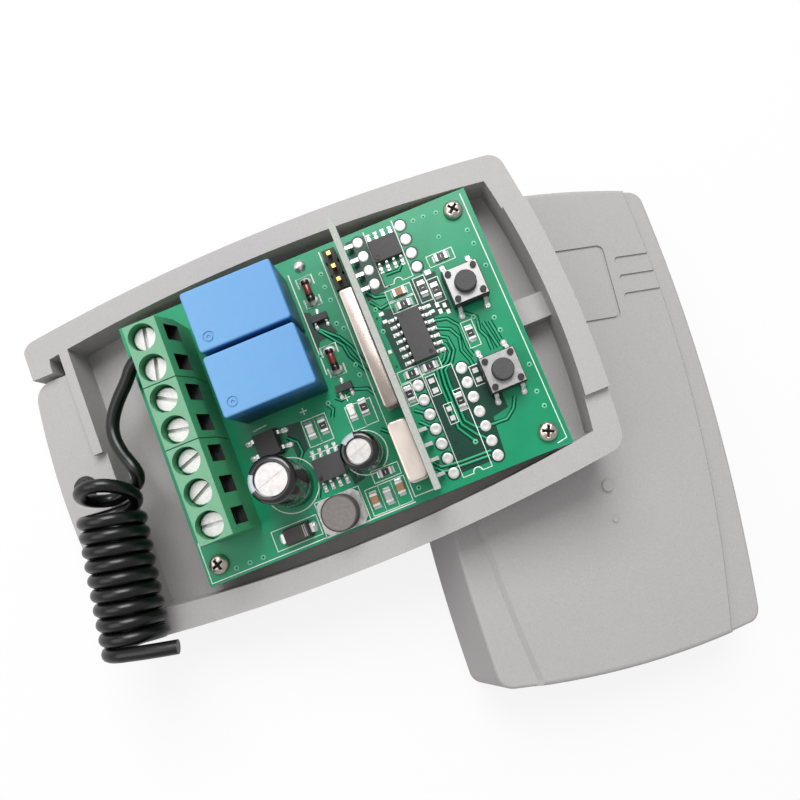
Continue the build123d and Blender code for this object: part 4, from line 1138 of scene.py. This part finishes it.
# sleeved cans, whose tops are scored with a cross
def makeCapacitors():
    for name, can in capacitors.items():
        r, h, disc = can["radius"], can["height"], can["disc"]
        sleeve = [(r - 0.25, 0.0), (r, 0.2), (r, h - 1.0), (r - 0.06, h - 0.6), (r - 0.24, h - 0.27),
                  (r - 0.55, h - 0.06), (disc + 0.3, h), (disc + 0.08, h - 0.1), (disc, h - 0.3),
                  (0.1, h - 0.28)]
        mesh = roundMesh(sleeve, sides=48)
        score = boxMesh(scores["share"] * disc, scores["width"], scores["cutTall"], edge=0.02,
                        low=h - scores["depth"])
        for turn in scores["turns"]:
            groove = score.copy()
            groove.transform(Matrix.Rotation(math.radians(turn), 4, "Z"))
            mesh = cutMesh(mesh, groove)
        mesh.transform(leaning(can))
        mesh.materials.clear()
        mesh.materials.append(finishes[name + "Capacitor"])
        keepPiece("capacitor_%s_can" % name, smoothed(mesh), ("capacitor_" + name,))


# cross-head screws, with painted shade as a dark sheet on the floor of each recess
def makeBoardScrews():
    r, h, (shankRadius, shankLow) = boardScrews["radius"], boardScrews["height"], boardScrews["shank"]
    crown = [(share * r, up * h) for share, up in boardScrews["crown"]]
    head = roundMesh([(shankRadius, shankLow), (shankRadius, 0.0), (r, 0.02), *crown], sides=28)
    length, width = boardScrews["recessLength"], boardScrews["recessWidth"]
    floor = h - boardScrews["recess"]
    for x, y in ((length, width), (width, length)):
        head = cutMesh(head, boxMesh(x, y, boardScrews["cutTall"], edge=0.02, low=floor))
    places = [(*place, 0, turn) for place, turn in zip(boardScrews["places"], boardScrews["turns"])]
    scatter("board_screw_heads", head, places, "screwHead", stands=("board_screws",))
    # painted shade: dark sheets on the recess floors
    shadeSheet = boxMesh(length - 0.04, width - 0.02, 0.06, edge=0.01, low=floor + 0.01)
    shadeSheets = [(x, y, z, turn + quarter) for x, y, z, turn in places for quarter in (0, 90)]
    scatter("board_screw_recesses", shadeSheet, shadeSheets, "recess")


# a solid's mesh without its stored normals, its corners joined
def joinedMesh(source):
    mesh = bpy.data.meshes.new("joined")
    corners = [vert.co for vert in source.vertices]
    mesh.from_pydata(corners, [], [face.vertices[:] for face in source.polygons])
    bm = bmesh.new()
    bm.from_mesh(mesh)
    bmesh.ops.remove_doubles(bm, verts=bm.verts, dist=0.000002)
    bm.to_mesh(mesh)
    bm.free()
    return mesh


def polePlace(pole, x):
    return Vector((x, terminals["firstPole"] - (pole - 1) * terminals["pitch"], 0))


# each housing is a copy of its solid, whose back windows reach as low as in the photograph
def lowerWindows():
    for letter, poles in terminals["poles"].items():
        node = "terminal_block_" + letter
        mesh = joinedMesh(nodes[node].data)
        for pole in poles:
            cutter = boxMesh(*terminals["cutSize"], edge=0.01, low=terminals["windowLow"])
            cutter.transform(Matrix.Translation(polePlace(pole, terminals["cutMiddle"])))
            cutter.transform(boardPlace)
            mesh = cutMesh(mesh, cutter)
        mesh.materials.clear()
        mesh.materials.append(finishes["terminal"])
        keepPiece("terminal_housing_" + letter, smoothed(mesh, 30), (node,), place=Matrix())


# each screw is a copy of its solid, turned about its own axis to where the photograph shows its slot
def turnTerminalScrews():
    for pole, turn in enumerate(terminals["slotTurns"], 1):
        node = "terminal_screw_%d" % pole
        mesh = joinedMesh(nodes[node].data)
        middle = boardPlace @ polePlace(pole, terminals["column"])
        spin = Matrix.Rotation(math.radians(turn), 4, trayUp)
        mesh.transform(Matrix.Translation(middle) @ spin @ Matrix.Translation(-middle))
        mesh.materials.append(finishes["screwSteel"])
        keepPiece("terminal_screw_turned_%d" % pole, smoothed(mesh, 30), (node,),
                  body="screw_%d" % pole, place=Matrix())


makeCans()
makeCapacitors()
makeBoardScrews()
lowerWindows()
turnTerminalScrews()
print("cans, screws and terminals made")


# Stage
stage = {"size": 3.0, "floorWhite": 0.5, "cameraShare": 0.75, "mirrorShare": 0.5, "glow": 1.12,
         "sky": 0.49, "skySeen": 1.1}
lamps = {
    "key": {"place": (-0.02, 0.42, 0.56), "size": 0.40, "power": 4.15},
    "fill": {"place": (-0.52, 0.10, 0.46), "size": 0.5, "power": 1.25},
}
lampTarget = Vector((0, 0, 0.01))


# paper that shades the object's shadow, and glows where the camera sees it
def paperFinish():
    f = Finish("paper")
    paper = f.node("ShaderNodeBsdfDiffuse", {}, {"Color": (stage["floorWhite"],) * 3 + (1,)})
    light = f.node("ShaderNodeEmission", {}, {"Color": (1, 1, 1, 1), "Strength": stage["glow"]})
    seen = f.node("ShaderNodeLightPath", output="Is Camera Ray")
    mirrored = f.node("ShaderNodeLightPath", output="Is Glossy Ray")
    share = seen * stage["cameraShare"] + mirrored * stage["mirrorShare"]
    return f.surface(f.node("ShaderNodeMixShader", {}, {0: share, 1: paper, 2: light}))


def makeStage():
    mesh = bpy.data.meshes.new("floor")
    half = stage["size"] / 2
    corners = [(-half, -half, 0), (half, -half, 0), (half, half, 0), (-half, half, 0)]
    mesh.from_pydata(corners, [], [(0, 1, 2, 3)])
    mesh.materials.append(paperFinish())
    floor = addObject("floor", mesh)
    world = bpy.data.worlds.new("studio")
    scene.world = world
    world.use_nodes = True
    sky = world.node_tree.nodes["Background"]
    seen = Graph(world.node_tree).node("ShaderNodeLightPath", output="Is Camera Ray")
    feed(world.node_tree, sky.inputs["Color"], (1, 1, 1, 1))
    feed(world.node_tree, sky.inputs["Strength"], stage["sky"] + seen * (stage["skySeen"] - stage["sky"]))


def addLamps():
    for name, lamp in lamps.items():
        data = bpy.data.lights.new(name, "AREA")
        data.shape = "SQUARE"
        data.size = lamp["size"]
        data.energy = lamp["power"]
        light = addObject(name, data)
        light.location = lamp["place"]
        light.rotation_euler = (lampTarget - Vector(lamp["place"])).to_track_quat("-Z", "Y").to_euler()


makeStage()
addLamps()
print("stage lit")
